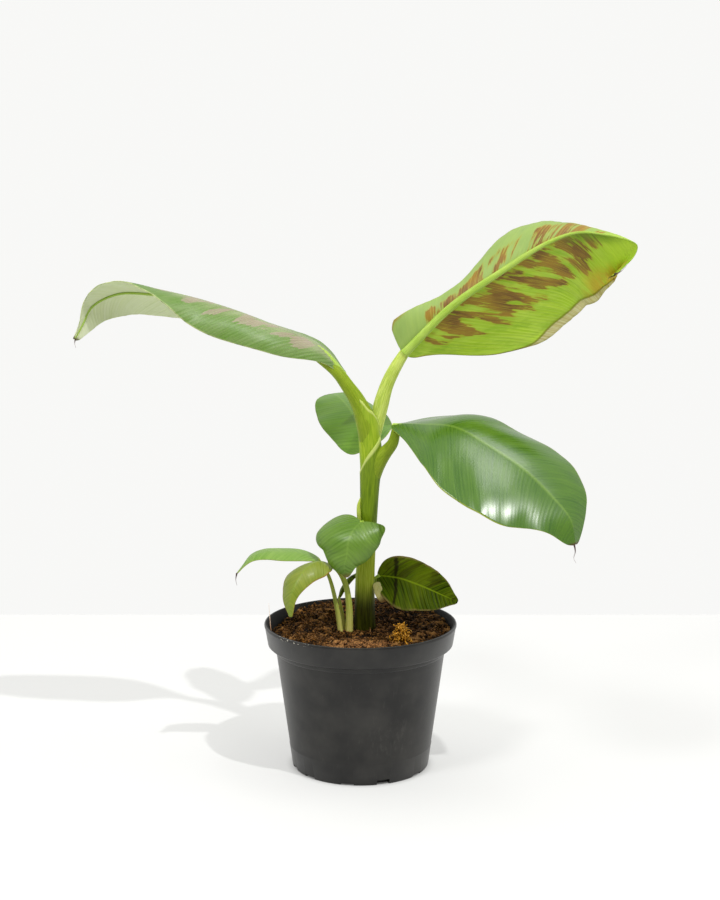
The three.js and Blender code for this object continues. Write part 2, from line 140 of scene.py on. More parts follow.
# Leaves.  midrib: points from the stalk to the tip.  heading: bearing of the leaf from +X in degrees.
# width, rise, turn, lead: for the right half and the left half, at seven even stations, the half-width,
# the slope beside the midrib in degrees, the bend from there to the margin in degrees, and the share of
# the width by which the margin runs ahead.  smooth: share of the length over which the direction is
# averaged.  round_foot: share of the length over which the right half rounds off at its foot.  dry_hem:
# the left margin is rolled under.  veins: how far the side veins lean towards the tip at the foot and at
# the tip of the leaf, and how much they bend.  pleat, pucker: shares of the usual ridges and puckers.
# rib, rib_depth: radii of the midrib, and its depth as a share of its width.  grid: steps along and
# across.  wave: height of the margin's waves.
LEAVES = {
    "leaf_upper_right": dict(
        midrib=[
            [37, 2, 369], [77, 5, 408], [123, 8, 440], [161, 12, 463], [186, 18, 471], [211, 25, 469],
            [235, 30, 463], [241, 32, 459], [239, 34, 450], [223, 36, 433],
        ],
        heading=6, width=[[30, 25, 15, 36, 16, 6, 1.5], [3, 26, 71, 86, 67, 25, 1.5]],
        rise=[[90, 85, 108, 112, 140, 185, 180], [-60, -62, -64, -62, -60, -60, -60]],
        turn=[[0, 10, 60, 62, 60, 0, 0], [0, 0, -8, -8, -4, 0, 0]],
        lead=[[0.3, 0.05, 0, 0, 0, 0, 0], [0, 0, 0, 0.03, 0.28, 0.1, 0]], smooth=0.3, round_foot=0.14,
        dry_hem=True, veins=(0.35, 2.2, 0.12), rib=[4.4, 3.8, 3.2, 2.2, 0.7, 0.3, 0.2], rib_depth=0.75,
        grid=(220, 100), wave=1.2,
    ),
    "leaf_left": dict(
        midrib=[
            [-13, 0, 351], [-33, 2, 373], [-82, 8, 395], [-139, 14, 413], [-182, 14, 419],
            [-210, 12, 419], [-232, 10, 408], [-240, 8, 393], [-247, 6, 380],
        ],
        heading=180, width=[[3, 12, 38, 46, 40, 12, 1.5], [3, 10, 40, 49, 33, 6, 1.5]],
        rise=[[10, 5, 0, -22, -28, -60, -60], [-50, -40, 10, 20, 40, 40, 40]],
        turn=[[0, 0, -10, -10, -10, 0, 0], [0, -20, -90, -95, -40, 0, 0]], smooth=0.12,
        rib=[4.2, 3.4, 2.6, 2.0, 1.4, 0.9, 0.4], rib_depth=0.7, grid=(180, 80), wave=1.0,
    ),
    "leaf_lower_right": dict(
        midrib=[
            [28, -10, 309], [51, -20, 310], [80, -35, 310], [106, -52, 298], [136, -70, 280],
            [159, -84, 259], [173, -92, 242], [177, -96, 222],
        ],
        heading=-35, width=[[3, 18, 51, 65, 55, 20, 1.5], [3, 22, 38, 46, 43, 15, 1.5]],
        rise=[[-30, -25, -20, -20, -20, -30, -30], [-20, 5, 22, 28, 28, 10, 0]],
        turn=[[0, -10, -20, -20, -20, 0, 0], [0, -10, -30, -35, -25, 0, 0]], smooth=0.14,
        veins=(0.5, 0.5, 0.35), pleat=0.3, pucker=0.2, rib=[3.2, 2.1, 1.3, 0.9, 0.7, 0.5, 0.3],
        rib_depth=0.8, grid=(160, 84), wave=1.3,
    ),
    "leaf_back": dict(
        midrib=[
            [7, 17, 284], [0, 28, 294], [-7, 55, 307], [-15, 82, 314], [-22, 102, 317], [-27, 120, 316],
        ],
        heading=130, width=[[3, 22, 34, 32, 25, 14, 4], [4, 19, 26, 30, 26, 15, 5]],
        rise=[[20, 20, 15, 10, 5, 5, 5], [-50, -66, -50, -30, -20, -12, -5]],
        turn=[[0, 0, -20, -20, -20, 0, 0], [0, 0, -20, -20, -20, 0, 0]], smooth=0.14,
        rib=[2.6, 2.2, 1.8, 1.3, 0.9, 0.6, 0.3], rib_depth=0.8, grid=(100, 50), wave=0.8,
    ),
    "leaf_heart": dict(
        midrib=[
            [1, -16, 224], [-6, -24, 218], [-10, -30, 210], [-12, -33, 196], [-14, -33, 188],
            [-12, -31, 178],
        ],
        heading=260, width=[[3, 22, 33, 36, 22, 5, 1], [3, 19, 25, 27, 15, 6, 1]], rise=[FLAT, FLAT],
        turn=[[0, -20, -40, -50, -50, -20, 0], [0, -20, -40, -50, -50, -20, 0]],
        lead=[[-0.3, -0.3, -0.2, -0.1, 0, 0, 0], [-0.5, -0.6, -0.3, -0.1, 0, 0, 0]], smooth=0.1,
        rib=[1.7, 1.3, 1.0, 0.8, 0.6, 0.4, 0.2], rib_depth=0.9, grid=(80, 56), wave=0.7,
    ),
    "leaf_old": dict(
        midrib=[[15, 4, 171], [34, 2, 169], [51, -2, 164], [70, -8, 157], [85, -12, 151]], heading=-18,
        width=[[2, 18, 26, 26, 18, 7, 1], [2, 15, 21, 21, 16, 6, 1]],
        rise=[[-50, -50, -55, -55, -50, -40, -30], [50, 50, 55, 50, 45, 40, 40]], turn=[FLAT, FLAT],
        smooth=0.1, rib=[1.6, 1.3, 1.0, 0.8, 0.6, 0.4, 0.2], rib_depth=0.8, grid=(90, 56), wave=2.2,
    ),
    "leaf_sucker_front": dict(
        midrib=[
            [-27, -14, 186], [-36, -22, 190], [-47, -34, 186], [-55, -42, 176], [-60, -47, 162],
            [-60, -48, 147],
        ],
        heading=235, width=[[2, 18, 26, 24, 15, 4, 1], [3, 12, 16, 12, 6, 3, 1]],
        rise=[[-10, -10, -10, -10, -10, -10, -10], [-20, -20, -20, -20, -20, -20, -20]],
        turn=[[0, -30, -30, -30, -30, 0, 0], [0, -30, -40, -40, -30, 0, 0]], smooth=0.1,
        rib=[1.6, 1.3, 1.0, 0.8, 0.6, 0.4, 0.2], rib_depth=0.8, grid=(80, 40), wave=0.5,
    ),
    "leaf_sucker_left": dict(
        midrib=[
            [-36, -8, 188], [-53, -8, 194], [-70, -8, 195], [-84, -9, 195], [-96, -10, 191],
            [-108, -12, 177],
        ],
        heading=180, width=[[1.5, 7, 11, 12, 9, 4, 1], [1.5, 7, 12, 12, 9, 4, 1]],
        rise=[[8, 8, 8, 6, 0, -10, -10], [-10, -10, -10, -10, -10, -10, -10]],
        turn=[[0, 0, -10, -10, 0, 0, 0], [0, -10, -30, -30, -20, 0, 0]], smooth=0.1,
        rib=[1.1, 0.9, 0.8, 0.6, 0.5, 0.3, 0.2], rib_depth=0.8, grid=(80, 36), wave=0.3,
    ),
    "leaf_sucker_small": dict(
        midrib=[[-3, 12, 171], [-9, 8, 168], [-15, 3, 161], [-19, -1, 152]], heading=215,
        width=[[1, 3, 4, 4, 4, 2, 1], [1, 3, 4, 4, 3, 2, 1]], rise=[[-20] * 7, [-20] * 7],
        turn=[FLAT, FLAT], smooth=0.1, grid=(40, 20), wave=0.3,
    ),
    "leaf_dried": dict(
        midrib=[[13, -3, 166], [18, -6, 160], [21, -8, 150]], heading=-70,
        width=[[1, 4, 6, 7, 6, 4, 2], [1, 4, 6, 6, 6, 5, 3]], rise=[[10] * 7, [-10] * 7],
        turn=[FLAT, FLAT], smooth=0.1, grid=(40, 24), wave=0.6,
    ),
}
SIDE_VEINS = (0.7, 0.7, 0.12)
LEAST_TURN = 1e-3  # a flat half is bent this little, so that its arc has a radius
RIB_DROP = 0.85  # share of a midrib's depth that hangs under the blade
STEPS_BETWEEN_POINTS = 60
WELD = 2e-6  # corners nearer than this, in metres, are one

LEAF_SLOTS = {
    "leaf_upper_right": "leaf_light",
    "leaf_left": "leaf_light",
    "leaf_lower_right": "leaf_green",
    "leaf_back": "leaf_green",
    "leaf_heart": "leaf_green",
    "leaf_old": "leaf_dark",
    "leaf_sucker_front": "leaf_light",
    "leaf_sucker_left": "leaf_light",
    "leaf_sucker_small": "leaf_dark",
    "leaf_dried": "leaf_dry",
}

# Dried threads at the leaf tips
TIP_THREADS = {
    "upper_right": [[222, 36, 434], [227, 35, 436], [231, 34, 440], [233, 34, 443]],
    "left": [[-246, 6, 381], [-247, 6, 377], [-246, 5, 373]],
    "lower_right": [[176, -96, 222], [177, -96, 216], [176, -95, 210], [178, -95, 206]],
    "sucker_left": [[-108, -12, 177], [-109, -12, 171], [-108, -12, 166]],
}

# Pot: radius and height along the outside of the wall from the foot up, then down the inside
POT_PROFILE = [
    [0, 1.6], [52, 1.6], [54, 0], [59.6, 0], [60.7, 1.2], [63.2, 19.4], [63.45, 20.2], [63.2, 21],
    [74.6, 104.6], [75.5, 105.2], [75.9, 106.2], [76.4, 109], [80.6, 110.2], [81.8, 111.4], [84.4, 126.6],
    [84.9, 127.6], [85, 128.6], [84.6, 129.7], [83.6, 130], [82.6, 129.8], [82, 129], [79.6, 113],
    [74, 109], [58.7, 2.4], [0, 2.4],
]
POT_FOOT_RADIUS = 60.5
POT_SMOOTH_ANGLE = 38
NOTCH_WIDTH = 11.5
NOTCH_DEPTH = 12
# Bearing of each notch from the front in degrees, and its height
NOTCHES = [
    [-72, 3], [-47, 2], [-11, 1.5], [19, 4.5], [55, 2], [91, 3], [127, 3], [163, 3], [199, 3], [235, 3],
]

# Mix: radius of its top, height and radius of the rings below it, mean level and highest point
MIX_RADIUS = 79.6
MIX_RINGS = ((109, 73), (6, 58.2))
MIX_LEVEL = 124
MIX_TOP = 129.5
LOOSE_RADIUS = 77
LOOSE_SEED = 11
SHAPE_COUNT = 6  # different crumbs or fibres, copied many times
STEM_FEET = ((4, 0, 10), (-12, -9, 6))  # x, y and the radius kept clear of loose bits
MOSS_SPOT = (35, -46)
MOSS_STRANDS = 330
MOSS_SEED = 5
STRAND = [[-76, -22, 121], [-78, -21, 128], [-79, -20, 138], [-80, -20, 152]]

# Stage, in metres: the floor glows a little outside the pot's foot; the glow fades out between the two radii
# of FOOT_SHADE, a painted shadow under the foot, and past FLOOR_SEAM the floor has the tone of the room
FLOOR_SIZE = 6
FLOOR_TINT = (0.4, 0.4, 0.392)
FLOOR_GLOW = (0.38, 0.38, 0.374)
FOOT_SHADE = (0.052, 0.068)
FLOOR_SEAM = 0.5
ROOM_TONE = (0.94, 0.94, 0.926)
ROOM_LIGHT = (1.0, 1.0, 0.985)
ROOM_STRENGTH = (0.3, 0.94)  # in front of the pot and behind it
KEY_POWER = 1.7
KEY_SPREAD = 1.3  # degrees
KEY_HEADING = (-0.455, 0.53, -1)
# Power, place, aim and size
SOFT_LAMPS = {
    "softbox": (2.6, (0.4, 0, 1.45), (0.1, -0.08, 0.28), (0.6, 0.26)),
    "fill": (7.5, (-0.5, -0.68, 1.25), (0, 0, 0.1), (0.3, 0.3)),
}
CAMERA_X = -0.0004
SENSOR_WIDTH = 36  # millimetres


# Settings


def colour(name, description, value):
    return FloatVectorProperty(
        name=name, description=description, default=value, size=3, min=0, max=1, subtype="COLOR"
    )


def length(name, description, millimetres):
    return FloatProperty(
        name=name, description=description, default=millimetres * MM, subtype="DISTANCE", unit="LENGTH"
    )


def srgb(*levels):
    """A colour given on the 0 to 255 scale, as light."""
    light = ((n / 255 / 12.92) if n < 11 else ((n / 255 + 0.055) / 1.055) ** 2.4 for n in levels)
    return tuple(round(n, 5) for n in light)


class PotSettings(bpy.types.PropertyGroup):
    plastic: colour("Plastic", "Colour of the moulded pot", srgb(16, 15, 14))
    dust: colour("Dust", "Colour of the dust and scuffs on the pot", srgb(74, 72, 67))
    segments: IntProperty(name="Segments", description="Steps round the pot", default=160, min=32)


class MixSettings(bpy.types.PropertyGroup):
    dark: colour("Damp mix", "Colour in the hollows of the mix", srgb(12, 5, 1))
    light: colour("Dry mix", "Colour of the dry crumbs", srgb(144, 92, 26))
    fibre: colour("Fibre", "Colour of the coir fibres", srgb(168, 122, 70))
    crumbs: IntProperty(name="Crumbs", description="Number of loose crumbs", default=1700, min=0)
    fibres: IntProperty(name="Fibres", description="Number of loose fibres", default=420, min=0)


class LeafSettings(bpy.types.PropertyGroup):
    thickness: length("Thickness", "Thickness of a blade", 0.7)
    pleat: length("Pleat depth", "Height of the ridges over the side veins", 0.16)
    vein_gap: length("Vein gap", "Distance between the ridged side veins", 4.2)
    blotch: colour("Blotch", "Maroon of the large leaf's blotches", srgb(84, 40, 8))
    rib: colour("Midrib", "Colour of the midribs of the light leaves", srgb(170, 200, 84))


class StemSettings(bpy.types.PropertyGroup):
    foot: colour("Foot", "Colour of the pseudostem at the mix", srgb(36, 38, 0))
    margin: colour("Sheath margin", "Colour of the dry edge of a sheath", srgb(176, 192, 92))


class StageSettings(bpy.types.PropertyGroup):
    distance: length("Camera distance", "Distance of the camera in front of the pot", 1542)
    height: length("Camera height", "Height of the camera over the floor", 556)
    tilt: FloatProperty(
        name="Camera tilt", description="Downward tilt of the camera", default=math.radians(10),
        subtype="ANGLE", unit="ROTATION",
    )
    lens: FloatProperty(name="Lens", description="Focal length", default=72, unit="CAMERA")


class PlantSettings(bpy.types.PropertyGroup):
    pot: PointerProperty(type=PotSettings)
    mix: PointerProperty(type=MixSettings)
    leaf: PointerProperty(type=LeafSettings)
    stem: PointerProperty(type=StemSettings)
    stage: PointerProperty(type=StageSettings)


def settings():
    return getattr(bpy.context.scene, PROPS)


# Finishes


class Signal:
    """A socket of a finish, used in sums as if it were a number."""

    def __init__(self, finish, node, output=0):
        self.finish = finish
        self.made = node
        self.socket = node.outputs[output] if len(node.outputs) else None

    def out(self, output):
        return Signal(self.finish, self.made, output)

    def maths(self, operation, *values):
        return self.finish.node("ShaderNodeMath", {"operation": operation}, dict(enumerate(values)))

    def __add__(self, other):
        return self.maths("ADD", self, other)

    __radd__ = __add__

    def __sub__(self, other):
        return self.maths("SUBTRACT", self, other)

    def __rsub__(self, other):
        return self.maths("SUBTRACT", other, self)

    def __mul__(self, other):
        return self.maths("MULTIPLY", self, other)

    __rmul__ = __mul__

    def __pow__(self, other):
        return self.maths("POWER", self, other)

    def __abs__(self):
        return self.maths("ABSOLUTE", self)

    def sine(self):
        return self.maths("SINE", self)

    def rise(self, low, high):
        """0 under low, 1 over high and smooth between; the other way round if low is over high."""
        down = low > high
        start = {"From Min": min(low, high), "To Min": float(down)}
        end = {"From Max": max(low, high), "To Max": float(not down)}
        smooth = {"interpolation_type": "SMOOTHSTEP"}
        return self.finish.node("ShaderNodeMapRange", smooth, {"Value": self, **start, **end})


class Finish:
    """One material, or the room, made node by node."""

    def __init__(self, name, blocks="materials"):
        self.block = getattr(bpy.data, blocks).new(name)
        self.block.use_nodes = True
        self.tree = self.block.node_tree
        self.tree.nodes.clear()

    def node(self, kind, settings=None, inputs=None):
        """Adds a node with its settings, then the values or links of its sockets."""
        made = self.tree.nodes.new(kind)
        for key, value in (settings or {}).items():
            setattr(made, key, value)
        for key, value in (inputs or {}).items():
            socket = made.inputs[key]
            if isinstance(value, Signal):
                self.tree.links.new(value.socket, socket)
            elif socket.type == "RGBA":
                socket.default_value = (*value, 1)
            else:
                socket.default_value = value
        return Signal(self, made)

    def place(self):
        return self.node("ShaderNodeTexCoord").out("Object")

    def uv(self, name):
        """The two numbers of one of the piece's UV maps."""
        return self.split(self.node("ShaderNodeUVMap", {"uv_map": name}))[:2]

    def split(self, vector):
        parts = self.node("ShaderNodeSeparateXYZ", inputs={0: vector})
        return parts.out("X"), parts.out("Y"), parts.out("Z")

    def join(self, x, y, z=0.0):
        return self.node("ShaderNodeCombineXYZ", inputs={0: x, 1: y, 2: z})

    def stretch(self, vector, scale):
        return self.node("ShaderNodeMapping", inputs={"Vector": vector, "Scale": scale})

    def noise(self, vector, scale, detail=2.0, roughness=0.5):
        values = {"Vector": vector, "Scale": scale, "Detail": detail, "Roughness": roughness}
        return self.node("ShaderNodeTexNoise", inputs=values)

    def mix(self, factor, first, second):
        """first where factor is 0, second where it is 1."""
        values = {"Factor": factor, 6: first, 7: second}
        return self.node("ShaderNodeMix", {"data_type": "RGBA"}, values).out(2)

    def bump(self, height, distance, strength):
        values = {"Height": height, "Distance": distance, "Strength": strength}
        return self.node("ShaderNodeBump", inputs=values)

    def principled(self, **sockets):
        names = {key.replace("_", " ").title().replace("Ior", "IOR"): value for key, value in sockets.items()}
        return self.node("ShaderNodeBsdfPrincipled", inputs=names)

    def output(self, shader, kind="ShaderNodeOutputMaterial"):
        self.node(kind, inputs={"Surface": shader})
        return self.block


def leaf_sheet(name, look):
    """Finish of one side of a blade.

    look holds colours, amounts from 0 to 1, and spans as shares of the length or of the half-width.
    """
    f = Finish(name)
    vein, across = f.uv("blade")  # centimetres along the veins' feet and out from the midrib
    t, q = f.uv("place")  # share of the length and of the half-width, the right half positive
    out = abs(q)
    gap = settings().leaf.vein_gap / CM
    streak = f.noise(f.join(vein * 5.5, across * 0.28), 1, 3, 0.6)
    fine = f.noise(f.join(vein * 16, across * 0.5), 1, 2, 0.6)
    broad = f.noise(f.join(vein * 0.45, across * 0.35), 1, 2, 0.5)
    lines = (vein * (TURN / gap)).sine() * 0.5 + 0.5
    ridge = lines.rise(0.72, 1.0)

    # Streaks and clouds of green, paler over the veins
    cloud = look.get("cloud", 0.3)
    base = f.mix(streak.rise(0.32, 0.7), look["dark"], look["light"])
    base = f.mix(fine.rise(0.45, 0.7) * 0.22, base, look["light"])
    base = f.mix(broad.rise(0.35, 0.7) * cloud, base, look["pale"])
    base = f.mix(ridge * look.get("vein", 0.25), base, look["pale"])
    if "mottle" in look:
        patchy = f.noise(f.join(vein * 0.7, across * 0.5 + 7), 1, 4, 0.65)
        base = f.mix(patchy.rise(0.46, 0.66) * 0.42, base, look["mottle"])

    # A near half paled with powder and painted sheen, and a deeper green away from the midrib
    if "near_pale" in look:
        base = f.mix(q.rise(-0.05, 0.12) * look["near_pale"], base, look["powder_and_sheen"])
    if "deep" in look:
        low, high = look["deep_span"]
        green = out.rise(low, high) * (1 - cloud * broad)
        base = f.mix(green * 0.85, base, f.mix(streak.rise(0.4, 0.8) * 0.6, look["deep"], look["dark"]))

    # Blotches along the side veins, inside a window of the blade
    spots = 0.0
    if "blotch_span" in look:
        cut = look["blotch_cut"]
        patches = f.noise(f.join(vein * 0.8, across * 0.34, q.rise(-0.01, 0.01) * 3.7), 1, 2, 0.5)
        ragged = f.noise(f.join(vein * 3.4, across * 0.5), 1, 3, 0.65)
        low, high, reach, near = look["blotch_span"]
        window = t.rise(low, low + 0.1) * t.rise(high, high - 0.16) * out.rise(reach, reach * 0.5)
        window = window * (1 - q.rise(0.0, 0.02) * (1 - near))
        cells = patches + (ragged - 0.5) * 0.5 + (window - 1) * 0.5
        spots = cells.rise(cut - 0.012, cut + 0.02)
        spots = spots * (1 - fine.rise(0.55, 0.66) * 0.7) * look["blotch_amount"]
        tint = f.mix(fine.rise(0.35, 0.7), look["blotch"], look["blotch_light"])
        if "fringe" in look:
            base = f.mix(cells.rise(cut - 0.07, cut) * 0.5, base, look["fringe"])
            tint = f.mix(broad.rise(0.35, 0.65) * 0.5, tint, look["fringe"])
        base = f.mix(spots, base, tint)

    # Towards the tip: painted light for a brighter green, a yellowed margin, and painted shade at the
    # midrib's bend; or a torn band
    if "painted_tip_light" in look:
        base = f.mix(t.rise(0.68, 0.86) * 0.6 * (1 - spots), base, look["painted_tip_light"])
    if "yellow" in look:
        worn = f.noise(f.join(vein * 0.8, across * 0.8), 1, 3).rise(0.32, 0.5)
        patch = t.rise(0.66, 0.78) * out.rise(0.4, 0.75) * worn
        base = f.mix(patch * look["yellow"], base, look["yellow_tint"])
        # Painted shade: a darker green on the far half beside the midrib, where the blade bends away from the
        # light
        painted_shade = t.rise(0.6, 0.68) * t.rise(0.86, 0.76) * out.rise(0.18, 0.02) * q.rise(0.0, -0.01)
        base = f.mix(painted_shade * 0.7, base, look["painted_shade_tint"])
    if "tear" in look:
        wander = f.noise(f.join(vein * 0.9, across * 1.1), 1, 3, 0.6)
        rip = abs(t + (wander - 0.5) * 0.09 - q * 0.05 - look["tear"]).rise(0.034, 0.008)
        base = f.mix(rip * 0.85, base, look["tip_tint"])

    # The midrib, the dry edge, the lobe at the foot, the dry hem with its painted shadow line, and the tip
    rib_end = look.get("rib_end", 0.98)
    rib = out.rise(0.05, 0.0) * t.rise(rib_end, rib_end - 0.12) * look.get("rib", 0.6)
    base = f.mix(rib, base, look["rib_tint"])
    edge = out.rise(1 - look.get("edge_width", 0.02), 1.0)
    worn = f.noise(f.join(vein * 1.3, across * 0.3), 1, 2).rise(look.get("edge_cut", 0.45), 0.62)
    base = f.mix(edge * worn, base, look["edge_tint"])
    if "lobe" in look:
        lobe = t.rise(0.1, 0.03) * out.rise(0.88, 0.97)
        base = f.mix(lobe * 0.75, base, look["lobe"])
    if "hem" in look:
        fold = out - 1 + t.rise(0.3, 0.5) * t.rise(1.0, 0.8) * look["hem"]
        far = q.rise(0.0, -0.02)
        dry = f.mix(streak.rise(0.35, 0.65), look["hem_tint"], look["hem_light"])
        base = f.mix(fold.rise(0.0, 0.008) * far, base, dry)
        # Painted shadow: a dark line along the hem's free edge, where the rolled hem shades the blade
        crease = fold.rise(-0.022, -0.002) * fold.rise(0.014, 0.002) * far
        base = f.mix(crease * 0.75, base, look["crease"])
    base = f.mix(t.rise(look.get("tip", 0.985), 1.0), base, look["tip_tint"])

    rough = look["rough"] + (streak - 0.5) * look.get("rough_play", 0.2) + (broad - 0.5) * 0.12
    bumped = f.bump(lines * 0.55 + fine * 0.35 + streak * 0.5, look.get("relief", 0.25) * MM, 0.6)
    face = f.principled(
        base_color=base, roughness=rough, normal=bumped, specular_ior_level=look.get("specular", 0.3),
        coat_weight=look.get("coat", 0.0), coat_roughness=look.get("coat_rough", 0.35),
        sheen_weight=look.get("sheen", 0.0),
    )
    through = f.node("ShaderNodeBsdfTranslucent", inputs={"Color": look["through"], "Normal": bumped})
    share = look["share"] * (1 - spots * 0.8)
    return f.output(f.node("ShaderNodeMixShader", inputs={0: share, 1: face, 2: through}))


def stem_ring(f):
    """Share of a turn round a stem, and a place whose noise streaks along it without a seam."""
    along, turn = f.uv("blade")
    return turn, f.join((turn * TURN).sine(), ((turn + 0.25) * TURN).sine(), along * 0.06)


def stalk_finish(name, look):
    """Fleshy stalk with streaks along its length.

    A zone of the look has a colour, a streak colour, where that streak sets in, and the two heights
    between which the zone sets in.
    """
    f = Finish(name)
    turn, ring = stem_ring(f)
    height = f.split(f.place())[2]
    streaks = look.get("streaks", 7.0)
    streak = f.noise(ring, streaks, 3, 0.6)
    thin = f.noise(ring, streaks * 3.3, 2, 0.5)
    cloud = f.noise(f.place(), 60, 2)
    base = f.mix(streak.rise(0.35, 0.65), look["dark"], look["light"])
    base = f.mix(thin.rise(0.45, 0.62) * 0.45, base, look["pale"])
    base = f.mix(cloud.rise(0.4, 0.7) * 0.25, base, look["pale"])
    for tint, streak_tint, (low, high), (start, full) in look.get("zones", ()):
        zone = f.mix(streak.rise(low, high), tint, streak_tint)
        base = f.mix(height.rise(start * MM, full * MM), base, zone)
    # Painted shade: a darker green in the channel along the stalk
    painted_channel_shade = abs(turn - 0.5).rise(0.1, 0.05)
    base = f.mix(painted_channel_shade * look["channel"], base, look["channel_shade_tint"])
    specks = f.noise(f.place(), 900, 2).rise(0.7, 0.76)
    base = f.mix(specks * look.get("specks", 0.3), base, look["speck_tint"])
    bumped = f.bump(streak * 0.6 + thin * 0.5, 0.25 * MM, 0.6)
    return f.output(f.principled(
        base_color=base, roughness=look["rough"] + (streak - 0.5) * 0.2, normal=bumped,
        specular_ior_level=0.12, subsurface_weight=0.12, subsurface_radius=(0.004, 0.005, 0.001),
        subsurface_scale=0.6,
    ))


def sheath_finish(name, dark, light, margin):
    """Free edge of a leaf sheath: streaked like a stalk, paler towards its dry margin."""
    f = Finish(name)
    rise = f.uv("place")[1]
    streak = f.noise(stem_ring(f)[1], 9, 3, 0.6)
    base = f.mix(streak.rise(0.35, 0.65), dark, light)
    base = f.mix(rise.rise(0.5, 1.0) * 0.2, base, srgb(150, 172, 62))
    base = f.mix(rise.rise(0.93, 0.97) * 0.8, base, srgb(196, 206, 120))
    base = f.mix(rise.rise(0.975, 0.99) * 0.8, base, margin)
    bumped = f.bump(streak, 0.2 * MM, 0.5)
    return f.output(f.principled(base_color=base, roughness=0.45, normal=bumped, specular_ior_level=0.15))


def pot_finish():
    """Dark moulded plastic: dust, a smear at the right front, specks on the left of the rim."""
    f = Finish("Moulded dark plastic")
    s = settings().pot
    place = f.place()
    x, y, z = f.split(place)
    grain = f.noise(place, 1400, 2)
    cloud = f.noise(place, 26, 3, 0.6)
    scuff = f.noise(f.stretch(place, (1, 1, 0.18)), 420, 3, 0.65)
    rings = f.noise(f.join(0.0, 0.0, z), 900, 2)
    base = f.mix(cloud.rise(0.3, 0.75) * 0.3, s.plastic, s.dust)
    base = f.mix(scuff.rise(0.6, 0.72) * 0.12, base, s.dust)

    # The dusty smear, then the specks on the rim; places in metres
    smear_x = x.rise(0.0, 0.014) * x.rise(0.05, 0.036)
    smear_z = z.rise(0.022, 0.03) * z.rise(0.064, 0.05)
    smear_noise = f.noise(f.stretch(place, (1, 1, 0.4)), 330, 4, 0.7).rise(0.5, 0.66)
    base = f.mix(smear_x * smear_z * smear_noise * 0.18, base, s.dust)
    speck = f.noise(place, 620, 2).rise(0.63, 0.68)
    lip = z.rise(0.1265, 0.1285) * x.rise(-0.035, -0.045) * x.rise(-0.075, -0.066) * y.rise(0.0, -0.02)
    base = f.mix(lip * speck, base, srgb(205, 200, 184))

    # Darker and duller inside
    middle = (z - 0.1125) * 0.15 + 0.081  # radius half way through the wall of the collar
    inside = ((x * x + y * y) ** 0.5 - middle).rise(0.0004, -0.0004) * z.rise(0.111, 0.113)
    base = f.mix(inside * 0.9, base, srgb(12, 10, 8))
    rough = 0.34 + (grain - 0.5) * 0.16 + (cloud - 0.5) * 0.16 + inside * 0.4
    bumped = f.bump(grain * 0.5 + rings * 0.35, 0.12 * MM, 0.5)
    return f.output(f.principled(base_color=base, roughness=rough, normal=bumped, specular_ior_level=0.38))


def mix_finish(name, dark, light, fibre, scale=1.0, hollow_shade=False):
    """Crumbly coir, darker at the right and paler at the middle front; the last flag adds painted shade
    between its lumps and painted light on their tops.
    """
    f = Finish(name)
    place = f.place()
    lump = f.noise(place, 130 * scale, 4, 0.65)
    crumb = f.noise(place, 620 * scale, 3, 0.7)
    strand = f.noise(f.stretch(place, (1, 0.3, 0.6)), 900 * scale, 2, 0.6)
    base = f.mix(crumb.rise(0.4, 0.72), dark, light)
    base = f.mix(lump.rise(0.62, 0.38) * 0.85, base, dark)
    base = f.mix(strand.rise(0.58, 0.68) * 0.6, base, fibre)
    x, y, _ = f.split(place)
    # Darker at the right and paler at the middle front
    base = f.mix(x.rise(-0.005, 0.03) * y.rise(-0.06, -0.03) * 0.4, base, dark)
    dry = x.rise(-0.04, -0.02) * x.rise(0.03, 0.015) * y.rise(-0.045, -0.06)
    base = f.mix(dry * crumb.rise(0.4, 0.6) * 0.5, base, srgb(186, 132, 84))
    if hollow_shade:
        # Painted shade darkens the hollows between the lumps, and painted light makes their tops paler
        lumps, _ = f.uv("hollow_shade")
        base = f.mix(lumps.rise(0.8, -0.6) * 0.96, base, srgb(6, 2, 0))
        base = f.mix(lumps.rise(0.5, 2.0) * 0.5, base, fibre)
    rough = 0.85 + (crumb - 0.5) * 0.2
    bumped = f.bump(crumb + strand * 0.6, 0.9 * MM, 0.9)
    return f.output(f.principled(base_color=base, roughness=rough, normal=bumped, specular_ior_level=0.1))


def thread_finish(name, root, tip):
    """Thin dry strand that pales towards its tip."""
    f = Finish(name)
    base = f.mix(f.uv("place")[0].rise(0.1, 0.8), root, tip)
    base = f.mix(f.noise(f.place(), 700, 2).rise(0.4, 0.7) * 0.4, base, root)
    return f.output(f.principled(base_color=base, roughness=0.7))


def floor_finish():
    """Plain pale paint that glows a little round the pot but not under its foot, a painted shadow, and has
    the tone of the room past the seam.
    """
    f = Finish("Pale floor")
    x, y, _ = f.split(f.place())
    grain = f.noise(f.place(), 3.0, 2)
    paint = f.mix(grain * 0.02, FLOOR_TINT, tuple(1.04 * n for n in FLOOR_TINT))
    # Painted shadow: the glow fades out under the pot's foot
    open_floor = ((x * x + y * y) ** 0.5).rise(*FOOT_SHADE)
    near = f.principled(
        base_color=paint, roughness=0.8, specular_ior_level=0.2,
        emission_color=f.mix(open_floor, (0, 0, 0), FLOOR_GLOW), emission_strength=1.0,
    )
    far = f.principled(
        base_color=(0, 0, 0), roughness=1.0, specular_ior_level=0.0,
        emission_color=ROOM_TONE, emission_strength=1.0,
    )
    beyond = y.rise(FLOOR_SEAM, FLOOR_SEAM + MM)
    return f.output(f.node("ShaderNodeMixShader", inputs={0: beyond, 1: near, 2: far}))


